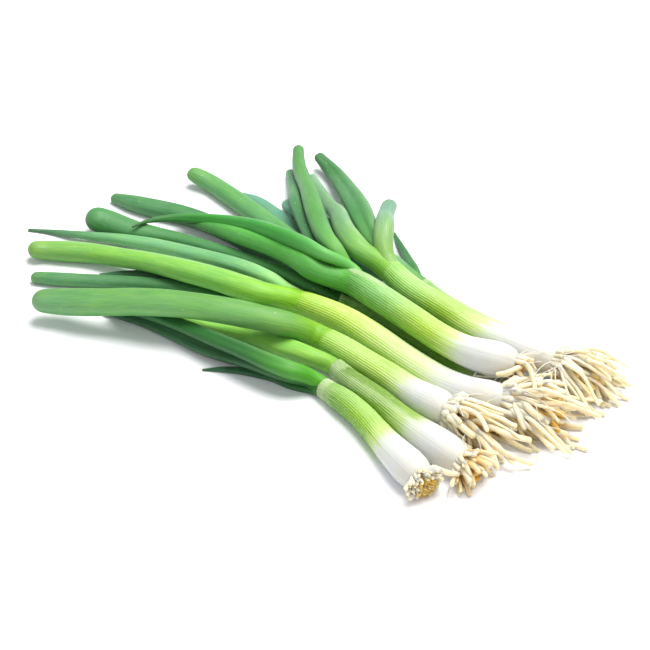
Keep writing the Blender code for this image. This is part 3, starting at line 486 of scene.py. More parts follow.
# each onion's roots: how many, their length in mm, how wide they spread, and
# their radius
TUFTS = {
    "a": dict(n=56, length=6.5, splay=1.30, radius=0.90, hollow=0.62, droop=0.02, gold=0.60),
    "b": dict(n=60, length=15.0, splay=1.05, radius=1.15, hollow=0.50, droop=0.05, tan=0.50),
    "c": dict(n=62, length=38.0, splay=0.72, radius=1.25, hollow=0.0, droop=0.05, gold=1.20, tan=0.06),
    "d": dict(n=74, length=45.0, splay=0.72, radius=1.35, hollow=0.0, droop=0.05, gold=1.20, tan=0.04),
    "e": dict(n=13, length=13.0, splay=0.45, radius=1.15, hollow=0.0, droop=0.22, gold=0.3),
    "f": dict(n=66, length=36.0, splay=0.70, radius=1.20, hollow=0.0, droop=0.08, gold=0.45),
    "g": dict(n=64, length=27.0, splay=0.60, radius=1.20, hollow=0.0, droop=0.07, gold=0.4),
    "h": dict(n=44, length=26.0, splay=0.60, radius=1.10, hollow=0.0, droop=0.06),
}

# single roots that lie clear of the tuft, drawn as the strands are: the onion,
# the radius in mm, and (across, down, height in mm) from the tuft outwards
SINGLE_ROOTS = [
    ("c", 1.7, [(450, 416, 15), (458, 424, 17), (472, 436, 14)]),
    ("c", 1.5, [(470, 424, 15), (483, 437, 13), (492, 452, 9), (497, 467, 5)]),
    ("c", 1.4, [(478, 432, 14), (496, 447, 11), (512, 457, 7), (531, 464, 3)]),
    ("c", 1.5, [(482, 414, 17), (500, 419, 16), (514, 426, 14)]),
    ("c", 1.4, [(486, 424, 15), (506, 434, 13), (530, 440, 9)]),
    ("b", 1.3, [(461, 458, 14), (466, 466, 13), (470, 475, 10)]),
    ("a", 1.2, [(430, 469, 13), (442, 471, 12), (458, 474, 9)]),
    ("d", 2.1, [(512, 394, 20), (534, 394, 20), (563, 393, 16)]),
    ("d", 1.8, [(520, 400, 18), (532, 412, 17), (550, 421, 12)]),
    ("d", 1.6, [(513, 402, 17), (518, 413, 16), (524, 427, 12)]),
    ("d", 1.3, [(536, 405, 16), (552, 407, 14), (569, 409, 10)]),
    ("d", 1.2, [(540, 420, 13), (556, 438, 8), (570, 453, 3)]),
    ("d", 1.2, [(528, 414, 14), (548, 428, 10), (566, 433, 7)]),
    ("e", 1.3, [(525, 364, 26), (532, 374, 25), (535, 389, 22)]),
    ("e", 1.2, [(520, 367, 25), (508, 372, 25), (498, 374, 24)]),
    ("e", 0.45, [(512, 374, 22), (494, 377, 19), (476, 376, 18)]),
    ("e", 0.40, [(490, 376, 19), (480, 370, 21), (474, 364, 22)]),
    ("e", 0.35, [(478, 371, 20), (474, 376, 18), (472, 381, 16)]),
    ("e", 0.40, [(515, 378, 20), (500, 376, 20), (494, 382, 17)]),
    ("f", 1.2, [(566, 366, 20), (582, 372, 18), (600, 376, 13)]),
    ("g", 1.2, [(582, 360, 16), (598, 362, 13), (616, 368, 8)]),
]


def tone(colour):
    """A colour as seen, 0 to 255, as the linear one that the shader takes."""
    c = np.asarray(colour, float) / 255.0
    return np.where(c <= 0.04045, c / 12.92, ((c + 0.055) / 1.055) ** 2.4)


def wave(x, seed, octaves=4):
    """A smooth wandering value from -1 to 1 along x."""
    out, size = np.zeros_like(np.asarray(x, float)), 0.0
    for k in range(octaves):
        f, a = 1.7**k, 0.62**k
        out = out + a * np.sin(f * x + 6.283 * chance(seed, k, 11)) * np.cos(0.63 * f * x + 6.283 * chance(seed, k, 17))
        size += a
    return out / size


def ring_waves(angle, s, seed, lobes=3):
    """A smooth value over a tube's skin, from -1 to 1, with no seam round it."""
    out = np.zeros(np.broadcast(angle, s).shape)
    for k in range(1, lobes + 1):
        out = out + np.cos(k * angle + 6.283 * chance(seed, k, 3) + 1.5 * wave(s * 0.05, seed + k)) / k
    return out / lobes


def level_frames(line):
    """Directions across and up at each point of a line that lies more or less level."""
    t = tangents(line)
    u = np.cross(t, np.array([0.0, 0.0, 1.0]))
    u /= np.maximum(np.linalg.norm(u, axis=1, keepdims=True), 1e-6)
    return t, u, np.cross(u, t)


def mesh_object(name, verts, faces, mat, values):
    mesh = bpy.data.meshes.new(name)
    mesh.from_pydata((np.asarray(verts) * MM).tolist(), [], faces)
    mesh.validate(clean_customdata=False)
    for key, value in values.items():
        value = np.asarray(value, np.float32)
        if value.ndim == 1:
            layer = mesh.attributes.new(key, "FLOAT", "POINT")
            layer.data.foreach_set("value", value)
        elif key == "tint":
            layer = mesh.attributes.new(key, "FLOAT_COLOR", "POINT")
            layer.data.foreach_set("color", np.column_stack([value, np.ones(len(value), np.float32)]).ravel())
        else:
            layer = mesh.attributes.new(key, "FLOAT_VECTOR", "POINT")
            layer.data.foreach_set("vector", value.ravel())
    mesh.shade_smooth()
    mesh.materials.append(mat)
    obj = bpy.data.objects.new(name, mesh)
    bpy.context.scene.collection.objects.link(obj)
    return obj


def tube_faces(rings, sides, start=0, close=(True, True)):
    """Quads between the rings of a tube, with a fan to an added middle point at each closed end."""
    i = np.arange(rings - 1)[:, None] * sides
    j = np.arange(sides)[None, :]
    k = (j + 1) % sides
    quads = np.stack([i + j, i + sides + j, i + sides + k, i + k], -1).reshape(-1, 4) + start
    faces = quads.tolist()
    first, last = start + rings * sides, start + rings * sides + 1
    if close[0]:
        faces += [[first, start + a, start + (a + 1) % sides] for a in range(sides)]
    if close[1]:
        o = start + (rings - 1) * sides
        faces += [[last, o + (a + 1) % sides, o + a] for a in range(sides)]
    return faces


def blend_colours(stops, x):
    """Colours along x, smoothly between (place, colour) stops."""
    places = np.array([p for p, _ in stops], float)
    colours = np.array([tone(c) for _, c in stops])
    k = np.clip(np.searchsorted(places, x, side="right") - 1, 0, len(places) - 2)
    t = smoothstep((x - places[k]) / (places[k + 1] - places[k]))[..., None]
    return colours[k] * (1 - t) + colours[k + 1] * t


def mixed(a, b, t):
    t = np.asarray(t)[..., None]
    return a * (1 - t) + b * t


def share_of(s, length):
    """How far along the stem, from the bulb (0) to the sheath's edge (1)."""
    return np.clip(s / length, 0.0, 1.0)


def stem_look(letter, stem, main_leaf, mat):
    """The stem's skin: bulb, ribbed sheaths, and the open edge of the outer sheath round the leaves."""
    look, seed = STEMS[letter], stem.onion + 1
    flush = look.get("flush", False)
    line, length = stem.points, along(stem.points)[-1]
    way = unit(main_leaf.points[3] - line[-1])
    line = np.concatenate([line, [line[-1] + tangents(line)[-1] * 3.0, line[-1] + tangents(line)[-1] * 5.0 + way * 2.5]])
    here = along(line)
    width = np.concatenate([stem.width, [stem.width[-1] * 0.99, stem.width[-1] * 0.97]])
    angle = np.linspace(0.0, 2.0 * math.pi, AROUND_STEM, endpoint=False)
    edge = length + look["collar"] * (0.35 + 0.65 * np.cos(angle - look["slant"])) + 0.5 * wave(angle * 3.0, seed, 3) * np.sin(angle / 2) ** 2
    low = np.concatenate([[0.0, 0.25, 0.6, 1.1, 1.8, 2.6, 3.6, 4.8], np.arange(5.6, length - 10.0, 0.8)])
    rows = [np.full(AROUND_STEM, s) for s in low]
    top = np.linspace(0.0, 1.0, 18)[1:]
    rows += [low[-1] + q * (edge - low[-1]) for q in top]
    s = np.array(rows)
    n = len(rows)
    a = np.broadcast_to(angle, s.shape)
    base = np.interp(s, here, width)
    end = np.interp(s, [0, 0.25, 0.6, 1.1, 1.8, 2.6, 3.6, 4.8, 6.5], [0.74, 0.82, 0.87, 0.91, 0.94, 0.965, 0.98, 0.99, 1.0])
    share = s / length
    streak = sum(np.cos(k * a + 6.283 * chance(seed, k, 23)) for k in (7, 11, 17, 23, 29, 37)) / 3.2
    low_end, high_end = look["turns"]
    green = smoothstep((share - low_end) / (high_end - low_end) + 0.10 * ring_waves(a, s * 0.0, seed, 4) + 0.22 * streak * smoothstep((share - 0.06) / 0.1))
    turn = 0.5 * wave(s * 0.05, seed + 3, 2) + 1.4 * ring_waves(a, s * 0.0, seed + 5, 2)
    rib = np.cos(RIBS * a + turn)
    line_dark = smoothstep((-rib - 0.35 + 0.12 * streak) / 0.55)
    r = base * end * (1.0 + 0.016 * ring_waves(a, s, seed, 3))
    r = r + rib * (0.025 + 0.085 * green) * smoothstep(s / 12.0)
    r = r + (0.10 * wave(s * 0.16 + 2 * np.cos(a + seed), seed + 9, 5) + 0.06 * ring_waves(a * 2, s * 4, seed + 31, 4)) * (1 - 0.7 * green)
    # the bulb's own fine lines
    grain = sum(np.cos(k * a + 6.283 * chance(seed, k, 29) + 0.7 * wave(s * 0.04, seed + k, 2)) for k in (13, 19, 27, 41, 53)) / 5.0
    # a paler outer sheath skin, a little proud of what is under it
    film = sheath_film(letter, a, s, length, seed)
    r = r + 0.14 * film
    if flush:
        r = r - 0.75 * smoothstep((s - (length - 7.0)) / 8.0) * (1 - film)
    # the lip: over the edge and back down inside
    for depth, inside in [(-0.08, 0.16), (0.05, 0.32), (0.9, 0.55), (3.0, 0.85), (6.5, 1.4)]:
        s = np.vstack([s, edge - depth])
        a = np.vstack([a, angle])
        r = np.vstack([r, r[n - 1] - inside])
        rib, green, film, streak, line_dark, grain = (np.vstack([x, x[n - 1]]) for x in (rib, green, film, streak, line_dark, grain))
    t, u, v = level_frames(line)
    def pick(values):
        return np.stack([np.interp(s, here, values[:, c]) for c in range(3)], -1)
    verts = pick(line) + (r * np.cos(a))[..., None] * pick(u) + (r * np.sin(a))[..., None] * pick(v)
    verts[..., 2] = np.maximum(verts[..., 2], 0.02)
    rows_n = len(s)
    middle = 0.5 * (low_end + high_end)
    pale = tuple(0.40 * x + 0.60 * y for x, y in zip(look["low"], (226, 236, 200)))
    stops = [(-0.05, (212, 206, 188)), (0.03, (216, 214, 207)), (0.16, (217, 218, 219)), (low_end, (217, 222, 212)), (middle, pale), (high_end + 0.02, look["low"])]
    if letter == "d":
        stops += [(0.74, (212, 230, 104))]
    if letter == "c":
        stops += [(0.80, (198, 226, 124))]
    if letter == "e":
        stops += [(0.82, (126, 188, 108))]
    if letter == "f":
        stops += [(0.84, (164, 208, 116))]
    stops += [(1.02, look["high"])]
    shift = 0.04 * ring_waves(a, s * 0.0, seed, 4) + 0.035 * streak
    tint = blend_colours(stops, np.clip(s / length + shift * smoothstep((s / length - 0.05) * 6), -0.04, 1.01))
    tint = tint * (1.0 - 0.065 * (1 - green)[..., None] * smoothstep((grain - 0.02) / 0.4)[..., None] * np.array([1.0, 0.96, 1.05]))
    # dark lines between the veins, pale ridges on them
    fades = 1.0 - 0.45 * smoothstep((s / length - 0.72) / 0.28)
    if flush:
        fades = fades * (1.0 - 0.85 * smoothstep((s - length + look.get("smooth", 14.0)) / look.get("smooth", 14.0)))
    tint = mixed(tint, tint * np.array([0.46, 0.68, 0.16]), 0.66 * green * line_dark * fades)
    tint = mixed(tint, 0.6 * tint + 0.4 * tone((226, 240, 190)), 0.38 * green * smoothstep((rib - 0.2) / 0.7) * fades)
    # painted shade: the side turned to the surface is deeper; painted highlight: the back of the stem is paler
    tint = mixed(tint, tint * np.array([0.42, 0.72, 0.06]), 0.85 * green * smoothstep((np.cos(a - 4.2) + 0.12) / 0.95))
    tint = mixed(tint, 0.5 * tint + 0.5 * tone((214, 232, 196)), 0.50 * green * smoothstep(np.cos(a - 1.25) * 1.6 - 0.6) * fades)
    dried = tone((192, 210, 164)) if letter != "e" else tone((206, 202, 178))
    tint = mixed(tint, 0.70 * dried + 0.30 * tint, film * (0.70 + 0.16 * rib))
    # painted shade: the side under the next onion is the deepest
    tint = mixed(tint, tint * np.array([0.44, 0.60, 0.14]), look.get("shade", 0.0) * smoothstep((share_of(s, length) - 0.22) / 0.14) * smoothstep((np.cos(a - 0.70) - 0.10) / 0.7))
    inside = np.zeros(s.shape)
    inside[n:] = 1.0
    tint = mixed(tint, tone((120, 160, 70)), 0.6 * inside)
    skin = np.stack([base.max() * np.cos(a), base.max() * np.sin(a), s], -1)
    caps = np.array([verts[0].mean(0), verts[-1].mean(0)])
    flat = lambda x: np.concatenate([x.reshape(-1), [x[0].mean(), x[-1].mean()]])
    flat3 = lambda x: np.concatenate([x.reshape(-1, 3), [x[0].mean(0), x[-1].mean(0)]])
    return mesh_object(f"stem_{letter}", np.concatenate([verts.reshape(-1, 3), caps]), tube_faces(rows_n, AROUND_STEM), mat,
                       dict(tint=flat3(tint), skin=flat3(skin), green=flat(green), film=flat(film)))


def sheath_film(letter, a, s, length, seed):
    """Where the thin outer sheath skin has dried pale: 0 to 1."""
    left = length - s
    ragged = 1.2 * wave(a * 5.0, seed + 31, 3) + 0.5 * np.cos(RIBS * a * 0.5)
    film = np.zeros(s.shape)
    if letter == "a":
        film = smoothstep((5.5 + 0.6 * ragged + 1.0 * np.cos(a - 2.6) - left) / 1.6)
        film = np.maximum(film, 0.55 * smoothstep((14.0 + 3.0 * ragged - left) / 6.0) * smoothstep(np.cos(a - 3.2) * 1.5))
    elif letter == "b":
        film = smoothstep((7.5 + ragged - left) / 2.0) * 0.85
        middle = 2.75 - 1.1 * np.clip(left / 62.0, 0, 1)
        wide = 0.62 - 0.34 * np.clip(left / 62.0, 0, 1)
        off = np.abs((a - middle + math.pi) % (2 * math.pi) - math.pi)
        film = np.maximum(film, smoothstep((wide - off) / 0.16) * smoothstep((62.0 - left) / 10.0) * (0.50 + 0.25 * wave(left * 0.2, 5)))
    elif letter == "e":
        off = np.abs((a - 1.45 + 0.010 * left + math.pi) % (2 * math.pi) - math.pi)
        film = smoothstep((0.62 - 0.008 * left - off) / 0.40) * smoothstep((34.0 + 3 * ragged - left) / 16.0) * (0.62 + 0.25 * wave(left * 0.3 + 2 * np.cos(a), 8))
    elif letter == "f":
        off = np.abs((a - 0.9 + math.pi) % (2 * math.pi) - math.pi)
        film = smoothstep((6.0 - left) / 5.0) * smoothstep((1.1 - off) / 0.6) * 0.45
    elif letter in "cd":
        film = 0.0 * s
    else:
        film = smoothstep((3.0 + ragged - left) / 3.0) * 0.40
    return np.clip(film, 0.0, 1.0)


def length_of(here, sunk):
    """How far along a leaf its section has gone from round to its own flatness."""
    return min(float(here[-1]), sunk + 45.0)


def leaf_look(leaf, full, stem, mat):
    """A leaf's skin, from inside the sheath to its closed tip."""
    look = LEAVES[leaf.name]
    seed = sum(ord(c) for c in leaf.name) % 97
    axis = tangents(stem.points)[-1]
    top = stem.points[-1]
    neck, room, sunk = look["neck"], stem.width[-1], 9.0
    _, back, _, _ = eye()
    upward = unit(np.cross(back, axis))
    upward *= np.sign(upward[2])
    towards = unit(back - axis * back.dot(axis))
    aside = look.get("side", 0.0) * upward + look.get("front", 0.0) * towards
    own = along(leaf.points)
    first = int(np.searchsorted(own, look.get("skip", 11.0)))
    before = [top - axis * sunk + 0.3 * aside, top - axis * (0.5 * sunk) + 0.65 * aside, top + axis * 0.8 + aside]
    line = np.concatenate([before, leaf.points[first:]])
    here = along(line)
    begin = neck * room
    place, _, _, _ = eye()
    sight = line - (place - np.array(OFFSET))
    side = np.cross(tangents(line), sight)
    side /= np.linalg.norm(side, axis=1, keepdims=True)
    def seen(flat):
        return np.sqrt(side[:, 0] ** 2 + side[:, 1] ** 2 + (flat * side[:, 2]) ** 2)
    drawn_flat = np.concatenate([np.ones(3), leaf.flat[first:]])
    wide = np.concatenate([np.full(3, begin), full[first:]]) * seen(drawn_flat)
    grow = smoothstep((here - sunk) / look.get("opens", 16.0))
    flat = 1.0 + (np.interp(here, [0.0, sunk, length_of(here, sunk)], [1.0, 1.0, 0.85]) - 1.0)
    width = (begin * (1 - grow) + wide * grow) / seen(flat)
    if "move" in look:
        line = line + smoothstep((here - sunk - 2.0) / 14.0)[:, None] * np.array(look["move"])
    fitted = spline(np.column_stack([line, width * look.get("wider", 1.0)]), 2.0)
    for _ in range(4):
        fitted[1:-1] = 0.25 * fitted[:-2] + 0.5 * fitted[1:-1] + 0.25 * fitted[2:]
    line, width = fitted[:, :3], fitted[:, 3]
    flat = np.interp(along(line), here, flat)
    here = along(line)
    length = here[-1]
    tip = float(width[-1])
    blunt = tip > 1.6
    reach = (1.15 if blunt else 0.9) * tip
    places = np.concatenate([np.arange(0.0, length - reach - 0.5, 1.0), length - reach + reach * np.sin(np.linspace(0.0, 0.5 * math.pi, 12)) * 0.998])
    angle = np.linspace(0.0, 2.0 * math.pi, AROUND_LEAF, endpoint=False)
    s, a = np.meshgrid(places, angle, indexing="ij")
    base = np.interp(s, here, width)
    close = np.sqrt(np.maximum(1.0 - np.clip((s - (length - reach)) / reach, 0, 1) ** 2.6, 0.0))
    r = base * (0.03 + 0.97 * close)
    grows = smoothstep((s - sunk - 4.0) / 22.0)
    off = (a - look["at"] + math.pi) % (2 * math.pi) - math.pi
    deep = look["fold"] * grows * (0.75 + 0.25 * wave(s * 0.06, seed + 2)) * (1 - 0.6 * np.clip((s - 0.8 * length) / (0.2 * length), 0, 1))
    r = r * (1.0 - deep * np.exp(-((off / 0.42) ** 2)) + 0.45 * deep * np.exp(-(((np.abs(off) - 0.85) / 0.30) ** 2)))
    r = r * (1.0 + grows * (0.028 * ring_waves(a, s, seed, 3) + 0.020 * wave(s * 0.11, seed)))
    veins = 30
    rib = np.cos(veins * a + 1.6 * ring_waves(a, s * 0, seed + 4) + 0.6 * wave(s * 0.04, seed + 6, 2))
    r = r + 0.045 * rib * close * np.clip(base / 4.0, 0.2, 1.0)
    t, u, v = level_frames(line)
    def pick(values):
        return np.stack([np.interp(s, here, values[:, c]) for c in range(3)], -1)
    across = (r * np.cos(a))[..., None] * pick(u) + (r * np.sin(a))[..., None] * pick(v)
    across[..., 2] *= np.interp(s, here, flat)
    verts = pick(line) + across
    verts[..., 2] = np.maximum(verts[..., 2], 0.02)
    c = look["c"]
    share = np.clip((s - sunk) / (length - sunk), 0, 1)
    near = 22.0 / length
    tint = blend_colours([(-0.05, c[0]), (0.3 * near, c[0]), (2.4 * near, c[1]), (max(0.62, 3.0 * near), c[1]), (1.02, c[2])], share + 0.05 * ring_waves(a, s, seed + 8))
    tint = mixed(tint, tint * np.array([0.70, 0.86, 0.62]), 0.40 * (0.5 - 0.5 * rib))
    lines = smoothstep((-rib - 0.2) / 0.6) * (1 - smoothstep((s - sunk - 4.0) / 38.0))
    tint = mixed(tint, tint * np.array([0.50, 0.72, 0.25]), look.get("lines", 0.40) * lines)
    # warmer along the upper face, with a painted highlight as a pale rim on the far side
    face = np.exp(-(((a - look.get("upper", 1.75)) / 0.75) ** 2)) * (0.8 + 0.2 * wave(s * 0.07, seed + 21))
    tint = mixed(tint, 0.40 * tint + 0.60 * tone(look.get("up", (132, 186, 50))), look.get("warm", 0.0) * face * grows)
    rim = np.exp(-(((a - 0.95) / 0.42) ** 2)) * (0.7 + 0.3 * wave(s * 0.05, seed + 23))
    tint = mixed(tint, 0.4 * tint + 0.6 * tone((180, 212, 184)), look.get("rim", 0.25) * rim * smoothstep((s - sunk) / 30.0))
    # pale wax bloom with a painted sheen, most on the side that faces away from the light
    bloom = look["bloom"] * (0.62 + 0.38 * wave(s * 0.05, seed + 12, 3)) * (0.7 + 0.3 * ring_waves(a, s, seed + 14, 3)) * grows
    bloom = np.clip(bloom * (0.40 + 0.75 * np.cos(a - 2.75)), 0.0, 1.0)
    tint = mixed(tint, 0.35 * tint + 0.65 * tone((128, 176, 146)), 0.75 * bloom)
    # painted shade: darker, deeper green underneath
    joined = smoothstep((s - sunk) / 26.0)
    tint = mixed(tint, tint * mixed(np.array([0.50, 0.76, 0.08]), np.array([0.24, 0.66, 0.16]), joined), 0.80 * smoothstep((np.cos(a - 4.5) - 0.12 * joined) / 0.90))
    if blunt and look["c"][2][0] > 76:
        ends = smoothstep((s - (length - 3.2 * tip)) / (3.4 * tip))
        tint = mixed(tint, tint * 0.6 + 0.4 * tone((132, 148, 48)), look.get("ends", 0.35) * ends)
    elif not blunt:
        ends = smoothstep((s - (length - 6.0)) / 6.0)
        tint = mixed(tint, tone((70, 92, 48)), 0.5 * ends)
    skin = np.stack([base.max() * np.cos(a), base.max() * np.sin(a), s], -1)
    caps = np.array([verts[0].mean(0), verts[-1].mean(0)])
    flat1 = lambda x: np.concatenate([x.reshape(-1), [x[0].mean(), x[-1].mean()]])
    flat3 = lambda x: np.concatenate([x.reshape(-1, 3), [x[0].mean(0), x[-1].mean(0)]])
    return mesh_object(leaf.name.replace("onion_", "blade_"), np.concatenate([verts.reshape(-1, 3), caps]), tube_faces(len(places), AROUND_LEAF), mat,
                       dict(tint=flat3(tint), skin=flat3(skin), bloom=flat1(bloom)))


def sight_point(across, down, height):
    """The point at a height, in mm, that the eye sees at a place in the drawing."""
    place, back, right, up = eye()
    way = (across - MIDDLE[0]) * UNIT * right - (down - MIDDLE[1]) * UNIT * up - EYE_REACH * back
    return place + way * ((height - place[2]) / way[2]) - np.array(OFFSET)


def push_out(p, radius, stems, skip, ahead):
    """Moves a root's point out of the stems, and up from the surface."""
    for number, points, width in stems:
        d = p - points
        dist = np.linalg.norm(d, axis=1)
        k = int(np.argmin(dist - width))
        if number == skip and ahead:
            continue
        want = width[k] + radius + 0.2
        if dist[k] < want:
            p = points[k] + d[k] / max(dist[k], 1e-6) * want
    p[2] = max(p[2], radius * 0.95 + 0.05)
    return p


def root_tube(line, radii, sides, colours, out):
    """One root with a rounded end, added to the lists in out."""
    end = unit(line[-1] - line[-2])
    round_off = np.array([0.45, 0.80, 0.98])
    line = np.concatenate([line, line[-1] + np.outer(round_off * radii[-1], end)])
    radii = np.concatenate([radii, radii[-1] * np.sqrt(1.0 - round_off**2)])
    colours = np.concatenate([colours, np.repeat(colours[-1:], 3, axis=0)])
    t = tangents(line)
    u = np.cross(t, np.array([0.31, 0.17, 1.0]))
    u /= np.maximum(np.linalg.norm(u, axis=1, keepdims=True), 1e-6)
    v = np.cross(u, t)
    a = np.linspace(0, 2 * math.pi, sides, endpoint=False)
    key = out["count"]
    lobe = 1.0 + 0.09 * np.cos(2 * a + 6.3 * chance(key, 41)) + 0.05 * np.cos(3 * a + 6.3 * chance(key, 43))
    ring = line[:, None, :] + (radii[:, None] * lobe[None, :])[:, :, None] * (np.cos(a)[None, :, None] * u[:, None, :] + np.sin(a)[None, :, None] * v[:, None, :])
    start = out["n"]
    verts = np.concatenate([ring.reshape(-1, 3), [line[0], line[-1] + end * radii[-1] * 0.1]])
    verts[:, 2] = np.maximum(verts[:, 2], 0.02)
    here = along(line)
    out["verts"].append(verts)
    out["faces"] += tube_faces(len(line), sides, start)
    out["tint"].append(np.concatenate([np.repeat(colours, sides, axis=0), [colours[0], colours[-1]]]))
    s = np.concatenate([np.repeat(here, sides), [here[0], here[-1]]])
    aa = np.concatenate([np.tile(a, len(line)), [0.0, 0.0]])
    out["skin"].append(np.stack([np.cos(aa) + 7.3 * key, np.sin(aa) + 3.1 * key, s], -1))
    out["n"] += len(verts)
    out["count"] += 1


def root_radii(n, radius, seed, taper):
    x = np.linspace(0.0, 1.0, n)
    return radius * (1.0 - taper * x) * (1.0 + 0.11 * wave(x * 8.0, seed) + 0.07 * wave(x * 21.0, seed + 1))


def crooked(p, way, aim, length, radius, stems, number, key, droop, bend):
    """The line of a root that grows from p, first along way, then towards aim, in bends."""
    side = unit(np.cross(way, np.array([0.2, 0.3, 1.0])))
    rise = np.cross(side, way)
    beats = [0.18 + 0.30 * chance(key, number, i) for i in (31, 32, 33)]
    phase = [6.283 * chance(key, number, i) for i in (34, 35, 36)]
    line = [p - way * 1.2, p]
    step = 1.5
    for j in range(max(3, int(length / step))):
        sway = math.sin(beats[0] * j + phase[0]) + 0.6 * math.sin(2.3 * beats[1] * j + phase[1])
        lift = math.sin(beats[2] * j + phase[2])
        way = unit(way + 0.13 * (aim - way) + np.array([0.0, 0.0, -droop]) + bend * (sway * side + 0.7 * lift * rise))
        new = push_out(p + way * step, radius, stems, number, j < 6)
        if np.linalg.norm(new - p) > 0.3:
            way = unit(0.5 * way + 0.5 * unit(new - p))
        p = new
        line.append(p)
    line = np.array(line)
    line[2:-1] = 0.25 * line[1:-2] + 0.5 * line[2:-1] + 0.25 * line[3:]
    return spline(np.column_stack([line, np.zeros(len(line))]), 1.0)[:, :3]


def tuft_look(letter, stem, stems, mat):
    """The root plate and its roots."""
    look, number = TUFTS[letter], stem.onion
    centre, axis, across, up = plate_frame(stem.points)
    bulb = float(stem.width[0])
    out = dict(verts=[], faces=[], tint=[], skin=[], n=0, count=0)
    white, cream, gold, brown = tone((242, 235, 217)), tone((237, 218, 174)), tone((218, 168, 56)), tone((168, 110, 20))
    blush = tone((244, 206, 172)) if letter == "e" else cream
    # the plate: a low, lumpy dome
    sides, rows = 48, 10
    a = np.linspace(0, 2 * math.pi, sides, endpoint=False)
    ring = []
    for k in range(rows):
        q = k / (rows - 1)
        rr = bulb * 0.80 * math.cos(q * 0.5 * math.pi) ** 0.6 + 0.05
        hh = -0.8 + 2.6 * math.sin(q * 0.5 * math.pi)
        bump = 1.0 + 0.06 * np.cos(5 * a + number + q * 3) + 0.05 * np.cos(11 * a + q * 9)
        ring.append(centre + axis * hh + (rr * bump * np.cos(a))[:, None] * across + (rr * bump * np.sin(a))[:, None] * up)
    verts = np.concatenate([np.concatenate(ring), [ring[0].mean(0), ring[-1].mean(0)]])
    verts[:, 2] = np.maximum(verts[:, 2], 0.02)
    out["verts"].append(verts)
    out["faces"] += tube_faces(rows, sides, 0)
    q = np.repeat(np.linspace(0, 1, rows), sides)
    tint = mixed(np.broadcast_to(0.6 * blush + 0.4 * white, (len(q), 3)), np.broadcast_to(tone((236, 190, 150)) if letter == "e" else 0.5 * gold + 0.5 * brown, (len(q), 3)), smoothstep(q * 1.6))
    out["tint"].append(np.concatenate([tint, [gold, brown]]))
    out["skin"].append(np.column_stack([verts[:, 0] * 0.7, verts[:, 1] * 0.7, verts[:, 2] * 0.7]))
    out["n"] += len(verts)
    # the roots that fill the tuft
    for k in range(look["n"]):
        x = (k + 0.5) / look["n"]
        rim = math.sqrt(look["hollow"] ** 2 + x * (1 - look["hollow"] ** 2))
        angle = 2.399963 * k + number
        radial = math.cos(angle) * across + math.sin(angle) * up
        p = centre + axis * (1.4 - 1.5 * rim**3) + radial * bulb * 0.84 * rim
        spread = look["splay"] * rim * (0.35 + 1.1 * chance(k, number, 1))
        toss = np.array([chance(k, i, number) - 0.5 for i in (2, 3, 4)])
        aim = unit(axis + spread * radial + 0.55 * toss)
        way = unit(axis + 0.80 * rim * radial + 0.2 * toss)
        length = look["length"] * (0.38 + 0.80 * chance(k, number, 7)) * (1.0 - 0.22 * rim**2) * (1.0 - 0.35 * max(0.0, -float(radial[2])))
        radius = look["radius"] * (0.55 + 0.65 * chance(k, number, 9))
        aim = unit(aim - np.array([0.0, 0.0, max(0.0, 0.7 * float(aim[2]))]))
        line = crooked(p, way, aim, length, radius, stems, number, k, look["droop"], 0.085)
        here = along(line)
        # deep: golden roots at the middle of the tuft and on its lower side, partly their own colour and partly painted
        # shade inside and under the tuft
        deep = look.get("gold", 1.0) * np.clip(look.get("tan", 0.0) + 0.90 * (1 - rim) + 0.55 * max(0.0, -float(radial[2])) + 0.5 * (chance(k, number, 13) - 0.35), 0, 1)
        root = white * (1 - deep) + (0.60 * gold + 0.40 * cream) * deep
        tone_in = mixed(np.broadcast_to(0.5 * blush + 0.5 * white, (len(line), 3)), np.broadcast_to(0.65 * gold + 0.35 * brown, (len(line), 3)), np.full(len(line), min(1.0, 1.25 * deep)))
        colours = mixed(tone_in, np.broadcast_to(root, (len(line), 3)), smoothstep((here - 1.5) / (5.0 + 16.0 * deep)))
        colours = mixed(colours, np.broadcast_to(white * (1 - 0.45 * deep) + cream * 0.45 * deep, (len(line), 3)), 0.55 * smoothstep((here / here[-1] - 0.45) / 0.55))
        colours = mixed(colours, np.broadcast_to(0.5 * white + 0.5 * cream, (len(line), 3)), (0.25 if letter in "ab" else 0.80) * smoothstep((here / here[-1] - 0.30) / 0.45))
        root_tube(line, root_radii(len(line), radius, k + number * 50, 0.12), 10, colours, out)
    # shorter golden roots fill the tuft behind them; their golden brown is partly their own colour and partly painted
    # shade inside the tuft
    for k in range(int(0.90 * look["n"])):
        x = (k + 0.5) / (0.90 * look["n"])
        rim = math.sqrt(x) * 0.75
        angle = 2.399963 * k + 2.1 * number
        radial = math.cos(angle) * across + math.sin(angle) * up
        p = centre + axis * 1.0 + radial * bulb * 0.84 * rim
        toss = np.array([chance(k, i, number) - 0.5 for i in (62, 63, 64)])
        aim = unit(axis + 0.5 * look["splay"] * rim * radial + 0.6 * toss)
        aim = unit(aim - np.array([0.0, 0.0, max(0.0, 0.8 * float(aim[2])) + 0.15]))
        radius = look["radius"] * (0.70 + 0.60 * chance(k, number, 66))
        line = crooked(p, axis, aim, look["length"] * (0.28 + 0.40 * chance(k, number, 67)), radius, stems, number, k + 500, look["droop"], 0.13)
        share = (0.55 + 0.45 * chance(k, number, 68)) * (0.6 if letter in "fgh" else 1.0)
        colours = mixed(np.broadcast_to(0.7 * gold + 0.3 * brown, (len(line), 3)), np.broadcast_to(gold * share + cream * (1 - share), (len(line), 3)), smoothstep(along(line) / (0.4 * look["length"] + 2)))
        root_tube(line, root_radii(len(line), radius, k + number * 70, 0.12), 10, colours, out)
